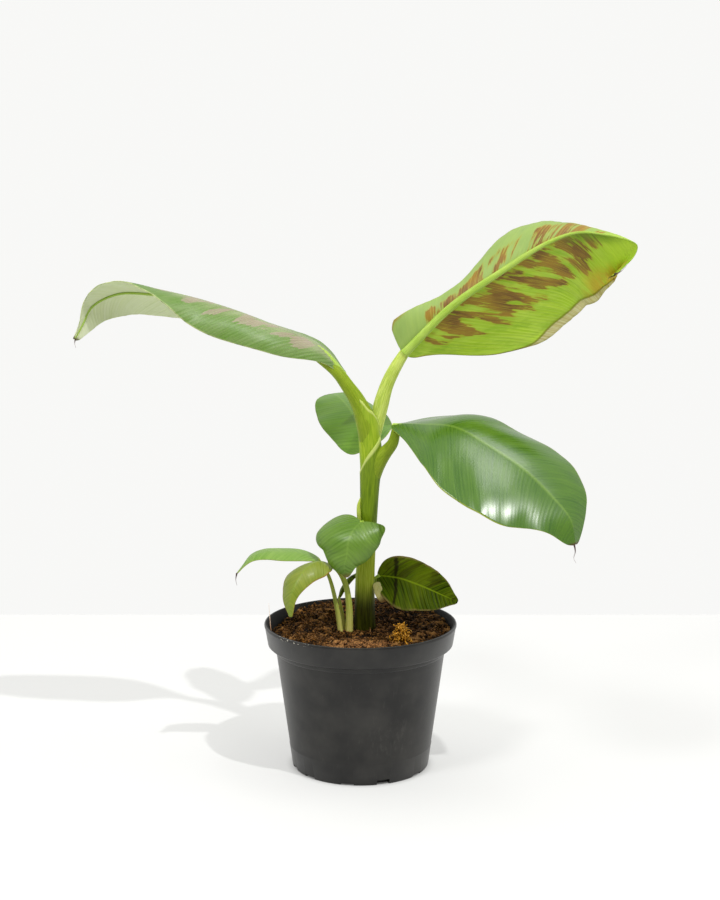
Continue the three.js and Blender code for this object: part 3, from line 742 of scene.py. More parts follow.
def soft_room():
    """Bright even room, a little darker in front where the camera stands."""
    f = Finish("Soft room", "worlds")
    depth = f.split(f.node("ShaderNodeTexCoord").out("Generated"))[1]
    ends = {"From Min": -1.0, "From Max": -0.2, "To Min": ROOM_STRENGTH[0], "To Max": ROOM_STRENGTH[1]}
    strength = f.node("ShaderNodeMapRange", inputs={"Value": depth, **ends})
    sky = f.node("ShaderNodeBackground", inputs={"Color": ROOM_LIGHT, "Strength": strength})
    return f.output(sky, "ShaderNodeOutputWorld")


# Shapes


def hermite(q, start, start_slope, end, end_slope):
    """Place at share q of a smooth step from start to end."""
    return (
        (2 * q**3 - 3 * q * q + 1) * start
        + (q**3 - 2 * q * q + q) * start_slope
        + (3 * q * q - 2 * q**3) * end
        + (q**3 - q * q) * end_slope
    )


def even(values, s):
    """Values at s (0 to 1) of a smooth curve through evenly spaced numbers."""
    v = np.asarray(values, float)
    last = len(v) - 1
    x = np.clip(np.asarray(s, float), 0, 1) * last
    i = np.minimum(np.floor(x).astype(int), last - 1)
    slope = np.gradient(v)
    return hermite(x - i, v[i], slope[i], v[i + 1], slope[i + 1])


class Midline:
    """Smooth curve through points, read by share of its length."""

    def __init__(self, points):
        p = np.asarray(points, float)
        p = np.vstack([2 * p[0] - p[1], p, 2 * p[-1] - p[-2]])
        q = np.linspace(0, 1, STEPS_BETWEEN_POINTS, endpoint=False)[:, None]
        traced = []
        for p0, p1, p2, p3 in zip(p, p[1:], p[2:], p[3:]):
            a, b, c = (np.linalg.norm(v) ** 0.5 for v in (p1 - p0, p2 - p1, p3 - p2))
            m1 = ((p1 - p0) / a - (p2 - p0) / (a + b) + (p2 - p1) / b) * b
            m2 = ((p2 - p1) / b - (p3 - p1) / (b + c) + (p3 - p2) / c) * b
            traced.append(hermite(q, p1, m1, p2, m2))
        self.points = np.vstack([*traced, p[-2]])
        steps = np.linalg.norm(np.diff(self.points, axis=0), axis=1)
        self.runs = np.r_[0, np.cumsum(steps)]
        self.length = self.runs[-1]

    def at(self, t):
        """Points at shares t of the length."""
        run = np.clip(np.asarray(t, float), 0, 1) * self.length
        return np.stack([np.interp(run, self.runs, self.points[:, k]) for k in range(3)], -1)

    def along(self, t, reach):
        """Heading at t, averaged over reach on both sides."""
        t = np.asarray(t, float)
        return unit(self.at(np.minimum(1, t + reach)) - self.at(np.maximum(0, t - reach)))


def unit(v):
    """The vectors, each 1 long."""
    return v / np.maximum(np.linalg.norm(v, axis=-1, keepdims=True), 1e-9)


def deselect():
    if bpy.context.object and bpy.context.object.mode != "OBJECT":
        bpy.ops.object.mode_set(mode="OBJECT")
    bpy.ops.object.select_all(action="DESELECT")


def only(piece):
    deselect()
    piece.select_set(True)
    bpy.context.view_layer.objects.active = piece


@contextmanager
def editing(piece):
    """Edit mode with all of the piece selected."""
    only(piece)
    bpy.ops.object.mode_set(mode="EDIT")
    bpy.ops.mesh.select_all(action="SELECT")
    yield
    bpy.ops.object.mode_set(mode="OBJECT")


def named(name):
    """The piece just made, under its name."""
    piece = bpy.context.object
    piece.name = name
    piece.data.name = name
    return piece


def link(piece):
    bpy.context.scene.collection.objects.link(piece)
    return piece


def read(piece):
    """Places of the vertices in metres."""
    spots = np.zeros(len(piece.data.vertices) * 3)
    piece.data.vertices.foreach_get("co", spots)
    return spots.reshape(-1, 3)


def write(piece, millimetres):
    """Moves the vertices to places in millimetres."""
    piece.data.vertices.foreach_set("co", (np.asarray(millimetres) * MM).ravel())
    piece.data.update()


def sheet(name, columns, rows, size=1):
    """Flat grid, and the two coordinates of its vertices."""
    deselect()
    bpy.ops.mesh.primitive_grid_add(x_subdivisions=columns, y_subdivisions=rows, size=size)
    piece = named(name)
    grid = read(piece)
    return piece, grid[:, 0], grid[:, 1]


def paint_uv(piece, name, *pair):
    """Stores a pair of numbers for each vertex as a UV map."""
    layer = piece.data.uv_layers.get(name) or piece.data.uv_layers.new(name=name)
    corners = np.zeros(len(piece.data.loops), int)
    piece.data.loops.foreach_get("vertex_index", corners)
    layer.data.foreach_set("uv", np.stack(pair, 1)[corners].ravel())


def paint_maps(piece, **maps):
    """Stores the named pairs as the piece's only UV maps."""
    for name, pair in maps.items():
        paint_uv(piece, name, *pair)
    for extra in [layer.name for layer in piece.data.uv_layers if layer.name not in maps]:
        piece.data.uv_layers.remove(piece.data.uv_layers[extra])


def apply_modifiers(piece):
    only(piece)
    for modifier in list(piece.modifiers):
        bpy.ops.object.modifier_apply(modifier=modifier.name)


def thicken(piece, thickness, offset, back_material=0):
    """Gives a sheet its thickness; its back takes the material that stands back_material further on."""
    body = piece.modifiers.new("thickness", "SOLIDIFY")
    body.thickness = thickness
    body.offset = offset
    body.material_offset = back_material
    apply_modifiers(piece)


def finish_piece(piece, material, slot, replaces=None, smooth=True):
    """Smooths a piece if asked, gives it its material, attaches it to the root body and hides the part that
    it replaces; slot is not used.
    """
    only(piece)
    if smooth:
        bpy.ops.object.shade_smooth()
    if material:
        piece.data.materials.append(material)
    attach(piece, "root")
    if replaces:
        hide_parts(replaces)


def leaf_frame(spec, s):
    """Midrib, share of its length at each s, and side, top and heading there."""
    line = Midline(spec["midrib"])
    t = (1 - np.cos(np.pi * s)) / 2
    along = line.along(t, spec["smooth"])
    bearing = math.radians(spec["heading"])
    across = np.array([math.sin(bearing), -math.cos(bearing), 0])
    side = unit(across - along * (along @ across)[..., None])
    top = np.cross(side, along)
    return line, t, side, top, along


def blade_surface(spec, x, y):
    """Places, vein and share coordinates and half-width of a blade at grid coordinates from -0.5 to 0.5."""
    s = y + 0.5
    line, t, side, top, along = leaf_frame(spec, s)
    q = 2 * np.abs(x)
    right = x >= 0

    def pick(pair):
        return np.where(right, even(pair[0], s), even(pair[1], s))

    rise = np.radians(pick(spec["rise"]))
    turn = np.radians(pick(spec["turn"]))
    turn = np.where(np.abs(turn) < LEAST_TURN, LEAST_TURN, turn)
    w = pick(spec["width"])
    if "round_foot" in spec:
        w = np.where(right, w * np.clip((s + 0.02) / spec["round_foot"], 0, 1) ** 0.4, w)
    sign = np.where(right, 1.0, -1.0)
    out = sign * w * (np.sin(rise + turn * q) - np.sin(rise)) / turn
    up = w * (np.cos(rise) - np.cos(rise + turn * q)) / turn
    forward = pick(spec["lead"]) * w * q * q if "lead" in spec else 0 * w
    spot = line.at(t) + side * out[:, None] + top * up[:, None] + along * forward[:, None]
    foot_slope, tip_slope, bend = spec.get("veins", SIDE_VEINS)
    slope = foot_slope + (tip_slope - foot_slope) * s**1.5
    vein = (t * line.length + forward - slope * w * q - bend * w * q * q) / MM_PER_CM
    return spot, (vein, w * q * sign / MM_PER_CM), (t, q * sign), w


def noise_at(*places):
    """Noise at each place, given by its three coordinates."""
    return np.array([noise.noise(Vector(place)) for place in zip(*places)])


def blade(name, spec, finishes):
    """Grid laid over the leaf's shape, pleated over the side veins, waved at its margin, then thickened."""
    s = settings().leaf
    rows, columns = spec["grid"]
    piece, x, y = sheet(name, columns, rows)
    spot, (vein, across), place, w = blade_surface(spec, x, y)

    def at(u, v):
        return blade_surface(spec, u, v)[0]

    step = 1e-3
    ahead = at(x, np.clip(y + step, -0.5, 0.5)) - at(x, np.clip(y - step, -0.5, 0.5))
    inner = np.where(x >= 0, np.clip(x, 4 * step, 0.5 - step), np.clip(x, -0.5 + step, -4 * step))
    normal = unit(np.cross(at(inner + step, y) - at(inner - step, y), ahead))
    q = np.abs(place[1])
    fade = np.clip(q / 0.12, 0, 1) * np.clip((1 - q) / 0.05, 0, 1) * np.clip(w / 12, 0, 1)
    gap = s.vein_gap / CM
    height = spec.get("pleat", 0.7) * (s.pleat / MM) * np.sin(TURN * vein / gap) * fade
    seed = sum(map(ord, name)) * 0.37
    wave = noise_at(vein * 0.42 + seed, across * 0.12, x * 0 + seed)
    pucker = noise_at(vein * 1.7, across * 0.5 + seed, x * 0 + 3.1)
    reach = np.clip(w / 20, 0, 1)
    height += spec["wave"] * reach * (1.6 * wave * q**2 + 0.45 * spec.get("pucker", 1.0) * pucker * q)
    spot = spot + normal * height[:, None]
    if spec.get("dry_hem"):
        spot = dry_hem(spot, normal, *place)
    write(piece, spot)
    paint_maps(piece, blade=(vein, across), place=place)
    for one in finishes:
        piece.data.materials.append(one)
    thicken(piece, s.thickness, 0, 1)
    return piece


def dry_hem(spot, normal, t, across):
    """The dried margin of the left half, turned under towards the front."""
    q = -across
    along = np.clip((t - 0.32) / 0.16, 0, 1) * np.clip((0.98 - t) / 0.2, 0, 1)
    curl = along * np.clip((q - 0.9) / 0.1, 0, 1) ** 1.5
    crease = along * np.exp(-(((q - 0.905) / 0.02) ** 2))
    return spot - normal * (curl * 2.6 - crease * 1.1)[:, None]


def midrib(name, spec):
    """Rib under a blade, thick at the stalk and thinning to the tip."""
    piece, turn, share = rolled(name + "_midrib", 24, spec["grid"][0] // 2)
    s = np.clip(share, 0.001, 0.999)
    line, t, side, top, along = leaf_frame(spec, s)
    normal = keel(spec, s, side, top)
    radius = even(spec["rib"], s)
    flat = spec["rib_depth"]
    centre = line.at(t) - normal * (radius * flat * RIB_DROP)[:, None]
    wide = unit(np.cross(normal, along))
    angle = turn * TURN
    spot = centre + wide * (np.cos(angle) * radius)[:, None]
    spot += normal * (np.sin(angle) * radius * flat)[:, None]
    write(piece, spot)
    close_tube(piece, t, turn, line.length)
    return piece


def keel(spec, s, side, top):
    """Mean direction of the upper side at the midrib."""
    normals = []
    for half, sign in zip(spec["rise"], (1, -1)):
        rise = np.radians(even(half, s))
        normals.append(top * np.cos(rise)[:, None] - side * (sign * np.sin(rise))[:, None])
    total = normals[0] + normals[1]
    weak = np.linalg.norm(total, axis=1) < 0.25
    total[weak] = normals[1][weak]
    return unit(total)


def rolled(name, sides, rings):
    """Grid to be rolled into a tube: each vertex's turn (0 to 1) and share of the length."""
    piece, x, y = sheet(name, sides, rings)
    return piece, x + 0.5, y + 0.5


def close_tube(piece, share, turn, length_mm):
    """Stores the two maps, sews the seam and caps both ends."""
    paint_maps(piece, place=(share, turn), blade=(share * length_mm / MM_PER_CM, turn))
    with editing(piece):
        bpy.ops.mesh.remove_doubles(threshold=WELD)
        bpy.ops.mesh.fill_holes(sides=0)
        bpy.ops.mesh.select_all(action="SELECT")
        bpy.ops.mesh.normals_make_consistent(inside=False)


def tube(name, path, radii, rings, sides, channel=0.0, squash=1.0, ridges=0.0):
    """Closed stalk along a path; channel is cut into its upper side, squash is its depth over its width."""
    piece, turn, s = rolled(name, sides, rings)
    line = Midline(path)
    along = line.along(s, 0.03)
    front = np.array([1.0, 0, 0])
    side = unit(front - along * (along @ front)[:, None])
    back = np.cross(along, side)
    angle = (turn - 0.25) * TURN
    upper = np.cos(angle - np.pi / 2)
    cut = channel * np.clip((upper - 0.55) / 0.45, 0, 1) ** 1.5 * np.clip((s - 0.25) / 0.2, 0, 1)
    size = even(radii, s) * (1 - cut) + np.abs(np.sin(angle * 7)) * ridges
    spot = line.at(s) + side * (np.cos(angle) * size)[:, None]
    spot += back * (np.sin(angle) * size * squash)[:, None]
    write(piece, spot)
    close_tube(piece, s, turn, line.length)
    return piece


def sheath(name, spec):
    """Free edge of a leaf sheath: a thin shell that wraps the pseudostem and stands off it at its margin."""
    piece, x, y = sheet(name, 72, 48)
    u, v = x + 0.5, y + 0.5
    start, end = spec["turn"]
    bearing = start + (end - start) * u
    low, high = even(spec["foot"], u), even(spec["margin"], u)
    z = low + (high - low) * v
    stem = STEMS["pseudostem"]
    line = Midline(stem["path"])
    samples = np.linspace(0, 1, 200)
    share = np.interp(z, line.at(samples)[:, 2], samples)
    edge = np.clip(np.minimum(u, 1 - u) / 0.12, 0, 1)
    stand = 0.15 + even(spec["lift"], u) * v**1.5
    size = even(stem["radii"], share) - SHEATH_DEPTH + (stand + SHEATH_DEPTH) * edge
    spot = line.at(share)
    spot[:, 0] += np.cos(np.radians(bearing)) * size
    spot[:, 1] += np.sin(np.radians(bearing)) * size
    spot[:, 2] = z
    write(piece, spot)
    paint_maps(piece, place=(u, v), blade=(z / MM_PER_CM, bearing / 360))
    thicken(piece, SHEATH_THICKNESS * MM, -1)
    return piece


# Looks of the leaves and stalks


def leaf_looks():
    """For each leaf, the looks of its upper and its under side: colours, and amounts from 0 to 1."""
    s = settings().leaf
    common = dict(rib_tint=tuple(s.rib), edge_tint=srgb(196, 176, 74), tip_tint=srgb(70, 44, 24))
    lit = dict(
        # The tip is brightened with painted light
        common, through=srgb(206, 226, 30), share=0.36, mottle=srgb(104, 160, 12), painted_tip_light=srgb(206, 240, 60),
        fringe=srgb(176, 140, 26), lobe=srgb(156, 112, 58), blotch=tuple(s.blotch),
        blotch_light=srgb(146, 92, 26), blotch_span=(0.03, 0.86, 0.9, 0.9), blotch_cut=0.47,
        # A painted shade darkens the far half beside the midrib where the blade bends
        blotch_amount=0.92, yellow=0.85, yellow_tint=srgb(214, 168, 50), painted_shade_tint=srgb(92, 138, 8),
        edge_cut=0.3, edge_tint=srgb(178, 150, 86), rib=0.8, rib_end=0.7, sheen=0.1,
    )
    lit_under = dict(
        lit, dark=srgb(150, 192, 30), light=srgb(192, 222, 60), pale=srgb(208, 230, 110), rough=0.5,
        # The paler near half is partly powder and partly painted sheen
        near_pale=0.75, powder_and_sheen=srgb(152, 172, 114), hem=0.08, hem_tint=srgb(186, 164, 112),
        # The hem's dark line is a painted shadow
        hem_light=srgb(214, 204, 164), crease=srgb(96, 62, 28),
    )
    lit_upper = dict(
        lit, dark=srgb(84, 128, 30), light=srgb(112, 154, 44), pale=srgb(140, 176, 70), rough=0.38,
    )
    left_upper = dict(
        common, dark=srgb(112, 130, 72), light=srgb(138, 150, 104), pale=srgb(170, 174, 144),
        deep=srgb(74, 118, 18), deep_span=(0.25, 0.65), through=srgb(150, 190, 40), share=0.22,
        # The blotches here are maroon paled by painted sheen
        rough=0.42, cloud=0.4, rib_tint=srgb(150, 176, 96), vein=0.12, blotch=srgb(146, 116, 112),
        blotch_light=srgb(178, 154, 146), blotch_span=(0.05, 0.8, 0.95, 0.5), blotch_cut=0.5,
        blotch_amount=0.6, coat=0.22, coat_rough=0.34, edge_width=0.025, edge_cut=0.2,
        edge_tint=srgb(206, 212, 150),
    )
    left_under = dict(
        common, dark=srgb(232, 238, 190), light=srgb(246, 249, 220), pale=srgb(250, 251, 232),
        through=srgb(226, 236, 110), share=0.42, rough=0.55, rib_tint=srgb(110, 150, 40), sheen=0.1,
    )
    glossy = dict(
        common, dark=srgb(48, 90, 0), light=srgb(66, 106, 2), pale=srgb(104, 140, 28),
        through=srgb(110, 160, 20), share=0.16, rough=0.3, rough_play=0.3, cloud=0.2, coat=0.75,
        coat_rough=0.26, relief=0.1, edge_cut=0.2, edge_tint=srgb(176, 186, 64), vein=0.1,
        rib_tint=srgb(132, 166, 62), rib=0.4,
    )
    satin_under = dict(
        left_under, dark=srgb(120, 148, 84), light=srgb(146, 170, 108), pale=srgb(164, 184, 130),
    )
    middling = dict(
        glossy, dark=srgb(76, 118, 24), light=srgb(94, 136, 30), pale=srgb(132, 164, 64), coat=0.22,
        relief=0.2, rough=0.42, coat_rough=0.35,
    )
    heart = dict(
        middling, dark=srgb(74, 112, 14), light=srgb(98, 136, 30), pale=srgb(158, 184, 96), coat=0.5,
        share=0.24, tip=0.9, tip_tint=srgb(112, 92, 40),
    )
    ageing = dict(
        common, dark=srgb(22, 32, 0), light=srgb(78, 102, 2), pale=srgb(112, 128, 12),
        through=srgb(70, 90, 2), share=0.12, rough=0.45, specular=0.05, cloud=0.5, blotch=srgb(40, 24, 6),
        blotch_light=srgb(60, 42, 14), blotch_span=(0.0, 1.1, 1.6, 0.8), blotch_cut=0.6,
        blotch_amount=0.45, edge_width=0.12, edge_cut=0.3, edge_tint=srgb(132, 116, 66),
        rib_tint=srgb(130, 152, 20), rib=0.9, tear=0.225, tip_tint=srgb(26, 16, 6),
    )
    dry = dict(
        common, dark=srgb(206, 200, 116), light=srgb(226, 220, 150), pale=srgb(236, 230, 180),
        through=srgb(220, 200, 100), share=0.3, rough=0.7, tip=0.6, tip_tint=srgb(120, 84, 44),
    )
    young = dict(
        glossy, dark=srgb(100, 142, 50), light=srgb(134, 168, 76), pale=srgb(158, 184, 104), coat=0.15,
        share=0.25, through=srgb(150, 190, 50), rough=0.42,
    )
    rusty = dict(
        young, dark=srgb(108, 128, 30), light=srgb(140, 152, 48), pale=srgb(166, 168, 72),
        edge_tint=srgb(168, 112, 40), edge_width=0.1, edge_cut=0.1,
    )
    return {
        "leaf_upper_right": (lit_upper, lit_under),
        "leaf_left": (left_upper, left_under),
        "leaf_lower_right": (glossy, satin_under),
        "leaf_back": (middling, satin_under),
        "leaf_heart": (heart, satin_under),
        "leaf_old": (ageing, ageing),
        "leaf_sucker_front": (rusty, rusty),
        "leaf_sucker_left": (young, satin_under),
        "leaf_sucker_small": (ageing, ageing),
        "leaf_dried": (dry, dry),
    }


def stalk_look(dark=srgb(120, 152, 40), light=srgb(158, 184, 66), pale=srgb(190, 206, 112), **changes):
    """The look of a plain stalk, with changes."""
    usual = dict(rough=0.45, speck_tint=srgb(110, 96, 40), channel=0.7, channel_shade_tint=srgb(84, 128, 20))
    return dict(usual, dark=dark, light=light, pale=pale, **changes)


# Operators


class BuildPot(bpy.types.Operator):
    """Spins the pot's wall, cuts its drainage notches and rounds its edges"""

    bl_idname = "plant.build_pot"
    bl_label = "Build pot"

    def execute(self, context):
        deselect()
        bpy.ops.mesh.primitive_plane_add(size=1)
        piece = named("nursery_pot")
        with editing(piece):
            bpy.ops.mesh.delete(type="ONLY_FACE")
            bpy.ops.mesh.select_all(action="SELECT")
            bpy.ops.mesh.merge(type="CENTER")
            trace(POT_PROFILE)
            bpy.ops.mesh.select_all(action="SELECT")
            bpy.ops.mesh.spin(
                steps=settings().pot.segments, angle=TURN, center=(0, 0, 0), axis=(0, 0, 1),
                use_auto_merge=True,
            )
            bpy.ops.mesh.select_all(action="SELECT")
            bpy.ops.mesh.remove_doubles(threshold=WELD)
            bpy.ops.mesh.normals_make_consistent(inside=False)
        cut_notches(piece)
        only(piece)
        bpy.ops.object.shade_smooth_by_angle(angle=math.radians(POT_SMOOTH_ANGLE))
        finish_piece(piece, pot_finish(), "pot_plastic", "pot", smooth=False)
        return {"FINISHED"}


def trace(profile):
    """Draws one open line of edges through the profile from the selected corner at the origin."""
    r, z = profile[0]
    bpy.ops.transform.translate(value=(r * MM, 0, z * MM))
    for (r0, z0), (r1, z1) in zip(profile, profile[1:]):
        step = ((r1 - r0) * MM, 0, (z1 - z0) * MM)
        bpy.ops.mesh.extrude_region_move(TRANSFORM_OT_translate={"value": step})


def cut_notches(piece):
    """Takes the drainage notches out of the pot's foot."""
    for number, (bearing, height) in enumerate(NOTCHES):
        deselect()
        bpy.ops.mesh.primitive_cube_add(size=1)
        block = named(f"notch_{number}")
        turn = math.radians(bearing)
        block.scale = (NOTCH_WIDTH * MM, NOTCH_DEPTH * MM, 2 * height * MM)
        block.location = (POT_FOOT_RADIUS * MM * math.sin(turn), -POT_FOOT_RADIUS * MM * math.cos(turn), 0)
        block.rotation_euler = (0, 0, turn)
        bpy.ops.object.transform_apply(location=True, rotation=True, scale=True)
        cutter = piece.modifiers.new(block.name, "BOOLEAN")
        cutter.operation = "DIFFERENCE"
        cutter.solver = "EXACT"
        cutter.object = block
        apply_modifiers(piece)
        bpy.data.objects.remove(block)


class BuildMix(bpy.types.Operator):
    """Fills the pot with lumpy coir mix and scatters crumbs, fibres and a moss tuft"""

    bl_idname = "plant.build_mix"
    bl_label = "Build potting mix"

    def execute(self, context):
        s = settings().mix
        dark, light, fibre = tuple(s.dark), tuple(s.light), tuple(s.fibre)
        ground = mix_finish("Damp coir mix", dark, light, fibre, hollow_shade=True)
        finish_piece(mix_body(), ground, "mix", "potting_mix")

        chaff = random.Random(LOOSE_SEED)
        crumbs = strew("mix_crumbs", crumb_shapes(chaff), loose_bits(chaff, s.crumbs, 0.6, 3.4))
        crumb_look = mix_finish("Loose crumbs", srgb(20, 9, 1), srgb(142, 92, 30), fibre, 1.3)
        finish_piece(crumbs, crumb_look, "mix", smooth=False)
        fibres = strew("mix_fibres", fibre_shapes(chaff), loose_bits(chaff, s.fibres, 2.5, 7))
        fibre_look = mix_finish("Coir fibres", srgb(104, 66, 36), fibre, srgb(186, 150, 104), 1.6)
        finish_piece(fibres, fibre_look, "mix")

        chaff = random.Random(MOSS_SEED)
        moss = strew("moss_tuft", fibre_shapes(chaff, 3.4), moss_strands(chaff))
        moss_look = mix_finish("Dry moss", srgb(178, 120, 26), srgb(228, 176, 74), srgb(246, 216, 134), 1.2)
        finish_piece(moss, moss_look, "mix")

        strand = tube("upright_fibre", STRAND, [0.45, 0.4, 0.3, 0.15], 20, sides=6)
        finish_piece(strand, thread_finish("Dry strand", srgb(190, 130, 70), srgb(236, 226, 212)), "mix")
        return {"FINISHED"}


def mix_body():
    """The body of mix: a lumpy top on a round grid, closed down to the foot of the pot."""
    piece, x, y = sheet("coir_mix", 200, 200, 2)
    x, y = x * np.sqrt(1 - y * y / 2) * MIX_RADIUS, y * np.sqrt(1 - x * x / 2) * MIX_RADIUS
    write(piece, np.stack([x, y, mix_height(x, y)], 1))
    with editing(piece):
        bpy.ops.mesh.region_to_loop()
        for z, radius in MIX_RINGS:
            bpy.ops.mesh.extrude_edges_move()
            bpy.ops.object.mode_set(mode="OBJECT")
            ring = np.array([v.index for v in piece.data.vertices if v.select])
            spots = read(piece) / MM
            flat = spots[ring, :2]
            spots[ring, :2] = flat / np.linalg.norm(flat, axis=1)[:, None] * radius
            spots[ring, 2] = z
            write(piece, spots)
            bpy.ops.object.mode_set(mode="EDIT")
        bpy.ops.mesh.edge_face_add()
        bpy.ops.mesh.select_all(action="SELECT")
        bpy.ops.mesh.normals_make_consistent(inside=False)
    spots = read(piece) / MM
    lumps = mix_lumps(spots[:, 0], spots[:, 1])
    paint_uv(piece, "hollow_shade", lumps, lumps * 0)
    return piece


def mix_lumps(x, y):
    """Lumps and hollows of the mix in millimetres at places in millimetres."""
    rough = np.array([
        1.6 * noise.noise(Vector((a * 0.05, b * 0.05, 1.7)))
        + 4.2 * (abs(noise.noise(Vector((a * 0.085, b * 0.1, 4.1)))) - 0.2)
        + 2.6 * (abs(noise.noise(Vector((a * 0.21, b * 0.24, 8.3)))) - 0.2)
        + 1.7 * noise.noise(Vector((a * 0.5, b * 0.5, 2.9)))
        for a, b in zip(np.ravel(x), np.ravel(y))
    ])
    return rough.reshape(np.shape(x))


def mix_height(x, y):
    """Height of the mix in millimetres: lumpy, mounded at the front, low at the back and the left."""
    x, y = np.asarray(x, float), np.asarray(y, float)
    r = np.hypot(x, y)
    lift = MIX_LEVEL + 6.6 * np.clip((y - 10) / 60, 0, 1) - 1.5 * np.clip((r - 40) / 40, 0, 1)
    front = np.clip((-y - 25) / 45, 0, 1) * np.clip(1 - np.abs(x + 2) / 62, 0, 1) ** 0.6
    lift = lift + 4.5 * front * np.clip(r / 60, 0, 1)
    lift = lift - 4.5 * np.exp(-(((x - 12) / 28) ** 2) - ((y + 30) / 11) ** 2)
    lift = lift - 5.5 * np.clip((-x - 38) / 35, 0, 1) * np.clip((y + 40) / 60, 0, 1)
    calm = np.clip((np.hypot(x - 2, y + 2) - 6) / 20, 0.35, 1)
    return np.minimum(lift + mix_lumps(x, y) * calm, MIX_TOP)


def crumb_shapes(chaff):
    """Small uneven lumps, 1 mm in radius."""
    shapes = []
    for number in range(SHAPE_COUNT):
        deselect()
        bpy.ops.mesh.primitive_ico_sphere_add(subdivisions=1, radius=1)
        piece = named(f"crumb_{number}")
        spots = read(piece)
        spots *= np.array([[chaff.uniform(0.6, 1.25)] for _ in spots])
        spots *= np.array([1.0, chaff.uniform(0.6, 1), chaff.uniform(0.45, 0.9)])
        write(piece, spots)
        shapes.append(piece)
    return shapes


def fibre_shapes(chaff, stout=1.0):
    """Thin bent threads, 2 mm long."""
    shapes = []
    for number in range(SHAPE_COUNT):
        a, b, c, d = (chaff.uniform(-0.5, 0.5) for _ in range(4))
        path = [[-1, a * 0.4, 0], [-0.4, b * 0.5, 0.25], [0.3, c * 0.5, 0.1 + d * 0.3], [1, d, 0]]
        radii = [radius * stout for radius in (0.04, 0.07, 0.06, 0.03)]
        shapes.append(tube(f"fibre_{number}", path, radii, 4, sides=5))
    return shapes


def loose_bits(chaff, count, least, most):
    """Shape, place, turn, tilt and size of bits that lie on the mix, none where the stems stand."""
    for _ in range(count):
        shape = chaff.randrange(SHAPE_COUNT)
        radius = LOOSE_RADIUS * math.sqrt(chaff.random())
        angle = chaff.uniform(0, TURN)
        x, y = radius * math.cos(angle), radius * math.sin(angle)
        if any(math.hypot(x - foot_x, y - foot_y) < clear for foot_x, foot_y, clear in STEM_FEET):
            continue
        size = least + (most - least) * chaff.random() ** 1.7
        yield shape, (x, y, mix_height(x, y)), chaff.uniform(0, TURN), chaff.uniform(-0.5, 0.5), size


def moss_strands(chaff):
    """The same for the strands of a curled tuft that narrows upwards, at the right front of the stems."""
    for _ in range(MOSS_STRANDS):
        shape = chaff.randrange(SHAPE_COUNT)
        wide, deep, high = chaff.gauss(0, 3.8), chaff.gauss(0, 3.6), abs(chaff.gauss(0, 7))
        x = MOSS_SPOT[0] + wide * max(0.35, 1 - high / 26)
        y = MOSS_SPOT[1] + deep * 0.8
        spot = (x, y, mix_height(x, y) + min(high, 15))
        yield shape, spot, chaff.uniform(0, TURN), chaff.uniform(-1.4, 1.4), chaff.uniform(1.6, 3.4)


def strew(name, shapes, bits):
    """Copies of the shapes where the bits lie, joined as one piece; the shapes themselves are removed."""
    copies = []
    for number, spot, turn, tilt, size in bits:
        turned = Matrix.Rotation(turn, 4, "Z") @ Matrix.Rotation(tilt, 4, "Y")
        copy = bpy.data.objects.new(name, shapes[number].data.copy())
        copy.data.transform(Matrix.Translation(Vector(spot) * MM) @ turned @ Matrix.Scale(size, 4))
        copies.append(link(copy))
    deselect()
    for copy in copies:
        copy.select_set(True)
    bpy.context.view_layer.objects.active = copies[0]
    bpy.ops.object.join()
    piece = named(name)
    for shape in shapes:
        bpy.data.objects.remove(shape)
    return piece


class BuildStems(bpy.types.Operator):
    """Shapes the pseudostem, the leaf stalks, the sucker stems and the free sheath edges"""

    bl_idname = "plant.build_stems"
    bl_label = "Build stems"

    def execute(self, context):
        s = settings().stem
        trunk = stalk_look(
            srgb(94, 118, 4), srgb(112, 134, 12), srgb(134, 154, 32), channel=0.0, streaks=9.0, specks=0.5,
            zones=[
                # Painted light: a lighter band low on the pseudostem, lifting the shade that the leaves cast
                # on it
                (srgb(134, 152, 20), srgb(168, 180, 60), (0.35, 0.65), (225, 190)),
                (srgb(128, 156, 22), srgb(156, 178, 44), (0.4, 0.62), (262, 276)),
                (tuple(s.foot), srgb(62, 66, 4), (0.4, 0.62), (170, 142)),
            ],
        )
        sucker = stalk_look(
            srgb(136, 152, 44), srgb(170, 180, 76),
            zones=[(srgb(160, 156, 70), srgb(196, 190, 110), (0.4, 0.62), (160, 124))],
        )
        sunlit = stalk_look(srgb(143, 169, 51), srgb(184, 202, 84), srgb(214, 222, 134))
        shaded = stalk_look(srgb(104, 128, 18), srgb(124, 146, 28), srgb(146, 162, 50))
        pale = stalk_look(srgb(150, 170, 52), srgb(172, 188, 74), srgb(196, 204, 112), channel=0.0)
        finishes = {
            "stalk": stalk_finish("Fleshy stalk", stalk_look()),
            "sunlit": stalk_finish("Sunlit stalk", sunlit),
            "shaded": stalk_finish("Shaded stalk", shaded),
            "trunk": stalk_finish("Pseudostem", trunk),
            "sucker": stalk_finish("Sucker stem", sucker),
        }
        for name, spec in STEMS.items():
            piece = tube(name + "_stem", **dict(USUAL_STEM, **spec))
            finish_piece(piece, finishes[STEM_FINISHES.get(name, "stalk")], "stem", name)

        margin = tuple(s.margin)
        edges = {
            "sheath_of_lower_right": ("Shaded sheath", srgb(82, 108, 4), srgb(112, 136, 18), margin),
            "sheath_of_left": ("Sunlit sheath", srgb(122, 150, 24), srgb(148, 170, 42), margin),
        }
        for name, spec in SHEATHS.items():
            finish_piece(sheath(name, spec), sheath_finish(*edges[name]), "stem")
        tip = tube("old_sheath_tip", **SHEATH_TIP)
        finish_piece(tip, stalk_finish("Pale sheath", pale), "stem", "sheath_tip")
        return {"FINISHED"}


